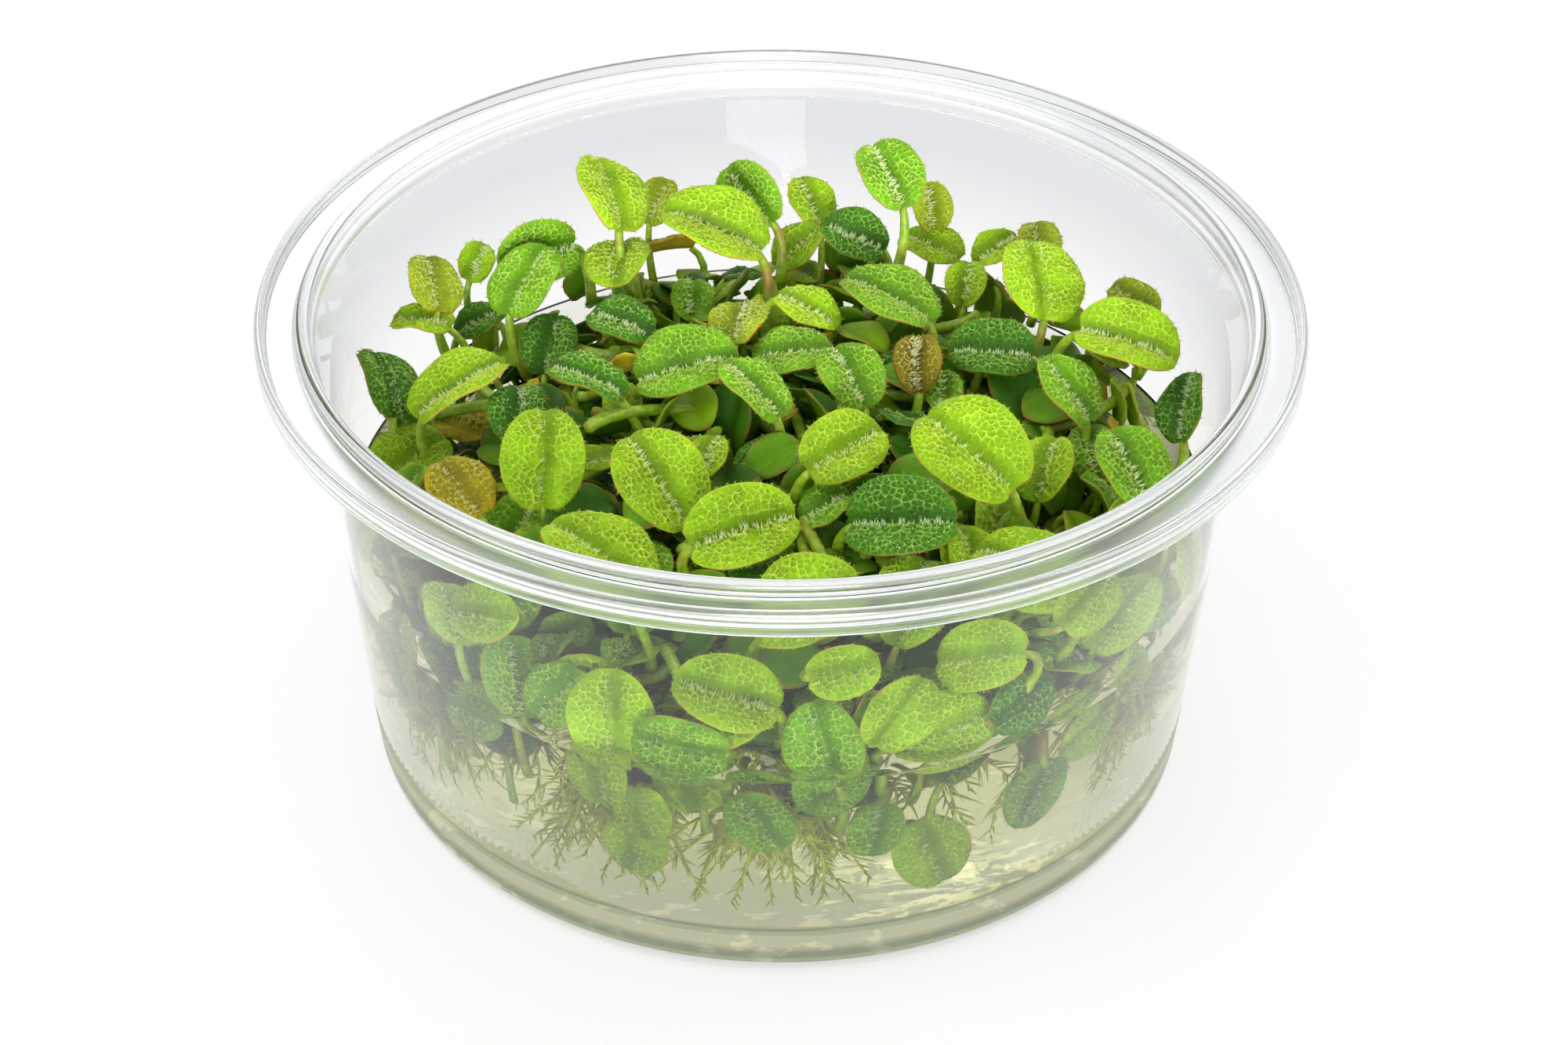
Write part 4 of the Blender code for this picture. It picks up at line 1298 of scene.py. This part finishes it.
def make_painted_shade_core(material, rng):
    """A lumpy body well under the leaves, dark with painted shade, that closes the gaps where the crowded
    inside of the heap shows.
    """
    steps, segments = 30, 96
    lumps = rng.uniform(-1, 1, (CORE_LUMPS, 3)) * [42 * MM, 42 * MM, 16 * MM] + [0, 0, 32 * MM]
    sizes = rng.uniform(3, 6, CORE_LUMPS) * MM
    turns = np.arange(segments) * 2 * math.pi / segments
    low = HEAP_BOTTOM + 3.5 * MM
    points = []
    for i in range(1, steps):
        swing = math.pi * (i / steps)
        radius = CORE_RADIUS * math.sin(swing) ** 0.5
        top = heap_height(radius) - CORE_DEPTH
        height = low + (top - low) * (0.5 + 0.5 * math.cos(swing))
        ring = [radius * np.cos(turns), radius * np.sin(turns), np.full(segments, height)]
        points.append(np.stack(ring, axis=-1))
    points.append([[0, 0, heap_height(0) - CORE_DEPTH], [0, 0, low]])
    points = np.concatenate(points)
    near = np.exp(-(np.linalg.norm(points[:, None] - lumps[None], axis=-1) / sizes) ** 2).sum(axis=1)
    swelling = near[:, None] * 1.4 * MM + rng.normal(0, 0.2, (len(points), 1)) * MM
    core_middle = [0, 0, 31 * MM]
    points = points + unit(points - core_middle) * swelling
    shape = Shape()
    shape.add(points, skin_faces(steps - 1, segments), (0, 0, 0, 0))
    dress(shape.make("heap_painted_shade", material), "tangle")


def make_stems(stems, material, rng):
    """The creeping stems that the leaves grow from, winding through the heap."""
    for _ in range(STEM_COUNT):
        outward = outward_at(rng.uniform(0, 2 * math.pi))
        radius = rng.uniform(4, 38) * MM
        start = radius * outward
        start[2] = heap_height(radius) - rng.uniform(4, 12) * MM
        way = outward_at(rng.uniform(0, 2 * math.pi))
        reach = rng.uniform(10, 18) * MM
        way[2] = rng.uniform(-0.2, 0.2)
        end = start + reach * way
        spread = math.hypot(end[0], end[1])
        if spread > HEAP_RADIUS:
            end[:2] *= HEAP_RADIUS / spread
        middle = (start + end) / 2 + rng.normal(0, 2, 3) * MM
        tube(stems, bezier(start, middle, end, 9), np.full(9, STEM_RADIUS), 8)
    dress(stems.make("stems", material), "tangle")


def inside_tub(point, margin):
    """The point, drawn in if it lies too near the wall or the floor."""
    point = np.array(point, float)
    point[2] = max(point[2], FLOOR + margin)
    limit = bore_radius(point[2]) - margin
    spread = math.hypot(point[0], point[1])
    if spread > limit:
        point[:2] *= limit / spread
    return point


def feather(shape, start, end, rng, hairs, bow, thick):
    """One root: a curved strand with fine hairs along it on every side, longest near its top."""
    start, end = inside_tub(start, ROOT_GAP), inside_tub(end, ROOT_GAP)
    length = np.linalg.norm(end - start)
    middle = inside_tub((start + end) / 2 + rng.normal(0, bow, 3) * length, ROOT_GAP)
    path = bezier(start, middle, end, ROOT_STEPS)
    last = ROOT_STEPS - 1
    tube(shape, path, np.linspace(thick, 0.2 * thick, ROOT_STEPS), 5, (0.15, 0, 0, 1))
    along = unit(end - start)
    for i in range(hairs):
        share = (i + rng.uniform(0.1, 0.9)) / hairs
        place = share * last
        low = int(place)
        root = path[low] * (1 - place + low) + path[min(low + 1, last)] * (place - low)
        side = rng.normal(0, 1, 3)
        side = unit(side - along * side.dot(along))
        reach = rng.uniform(2.4, 5.0) * MM * (1.1 - 0.75 * share)
        knee = inside_tub(root + (side * 0.65 + along * 0.75) * reach * 0.5, 0.4 * MM)
        way = unit(side * 0.8 + along * 1.2 + rng.normal(0, 0.15, 3))
        tip = inside_tub(knee + way * reach * 0.5, 0.3 * MM)
        tube(shape, bezier(root, knee, tip, 4), ROOT_HAIR_RADII, 3, (0.8, 0, 0, 1))


def make_roots(material, rng):
    """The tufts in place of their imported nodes, and the finer fringe that hangs under the whole heap."""
    for name in ("roots_left", "roots_front_left", "roots_front", "roots_right", "roots_back"):
        low, high = (np.array(corner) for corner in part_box(name))
        centre = (low + high) / 2
        outward = unit(np.array([centre[0], centre[1], 0]))
        aside = aside_of(outward)
        top = np.array([centre[0], centre[1], high[2]]) - outward * 1.5 * MM
        shape = Shape()
        for _ in range(TUFT_STRANDS):
            start = top + aside * rng.normal(0, 1.6) * MM + rng.normal(0, 0.6, 3) * MM
            depth = (high[2] - low[2]) * rng.uniform(0.5, 1.25)
            end = start + aside * rng.normal(0, 6.0) * MM + outward * rng.uniform(0, 5) * MM
            end[2] = high[2] - depth
            feather(shape, start, end, rng, 22, 0.08, rng.uniform(0.3, 0.48) * MM)
        dress(shape.make(name + "_feathers", material), name)
    fringe = Shape()
    for _ in range(FRINGE_STRANDS):
        outward = outward_at(rng.uniform(0, 2 * math.pi))
        aside = aside_of(outward)
        start = outward * rng.uniform(30, 44) * MM + [0, 0, rng.uniform(21, 27) * MM]
        end = start + outward * rng.uniform(-2, 4) * MM + aside * rng.normal(0, 5) * MM
        end[2] = start[2] - rng.uniform(3, 9) * MM
        feather(fringe, start, end, rng, 12, 0.15, 0.2 * MM)
    dress(fringe.make("root_fringe", material), "tangle")


def make_stage():
    """A plain pale floor that glows, as a backlit table does, and stands a hair into the tub's base."""
    bpy.ops.mesh.primitive_plane_add(size=6, location=(0, 0, CONTACT))
    floor = bpy.context.object
    floor.name = "floor"
    material, graph, shader = new_material("pale_floor")
    tint = graph.mix(graph.noise(9, 2), (0.18, 0.18, 0.18, 1), (0.20, 0.20, 0.20, 1))
    graph.links.new(tint, shader.inputs["Base Color"])
    shader.inputs["Roughness"].default_value = 0.7
    shader.inputs["Specular IOR Level"].default_value = 0.15
    shader.inputs["Emission Color"].default_value = (1.0, 0.995, 0.985, 1)
    shader.inputs["Emission Strength"].default_value = 0.73
    floor.data.materials.append(material)


def soft_light(name, place, size, power):
    data = bpy.data.lights.new(name, "AREA")
    data.shape = "DISK"
    data.size = size
    data.energy = power
    light = bpy.data.objects.new(name, data)
    light.location = place
    light.rotation_euler = (-Vector(place)).to_track_quat("-Z", "Y").to_euler()
    bpy.context.scene.collection.objects.link(light)


def light_scene():
    """A soft surround, darker towards the horizon, and four large soft lights round the tub."""
    scene = bpy.context.scene
    world = bpy.data.worlds.new("surround")
    scene.world = world
    world.use_nodes = True
    graph = Graph(world.node_tree)
    height = graph.span(graph.height("Generated"), 0.0, 0.75)
    sky = graph.mix(height, (0.44, 0.46, 0.48, 1), (0.94, 0.945, 0.95, 1))
    background = graph.nodes["Background"]
    graph.links.new(sky, background.inputs["Color"])
    background.inputs["Strength"].default_value = 1.0
    soft_light("key", (-0.55, -0.25, 0.85), 0.7, 3.2)
    soft_light("fill", (0.7, 0.35, 0.6), 0.6, 2)
    soft_light("front", (0.1, -1.3, 0.33), 0.6, 24)
    soft_light("back", (-0.2, 1.2, 0.5), 0.8, 3.5)
    scene.view_settings.view_transform = "Standard"
    scene.cycles.max_bounces = 32
    scene.cycles.transmission_bounces = 32


def place_camera():
    """The photograph's viewpoint, fitted to the rim, wall and foot: looking down at 37 degrees."""
    place = Vector((0.54, -261.98, 221.39)) * MM
    aim = Vector((0.54, 0, 25.7)) * MM
    data = bpy.data.cameras.new("camera")
    data.sensor_width = 36
    data.lens = 63
    data.clip_start = 0.01
    camera = bpy.data.objects.new("camera", data)
    turn = (aim - place).to_track_quat("-Z", "Y").to_matrix().to_4x4()
    roll = Matrix.Rotation(math.radians(0.58), 4, "Z")
    camera.matrix_world = Matrix.Translation(place) @ turn @ roll
    bpy.context.scene.collection.objects.link(camera)
    bpy.context.scene.camera = camera


def main():
    rng = np.random.default_rng(SEED)
    place_camera()
    light_scene()
    make_stage()
    make_tub()
    make_water()
    materials = {tone: leaf_material(tone) for tone in LEAF_TONES}
    stems = Shape()
    trees = make_whole_leaves(materials, stems, rng)
    make_wall_leaves(materials, stems, trees, rng)
    make_skin_leaves(materials, stems, trees, rng)
    make_heap(materials, stems, trees, rng)
    make_painted_shade_core(painted_shade_material(), rng)
    make_stems(stems, stem_material(), rng)
    make_roots(root_material(), rng)


main()
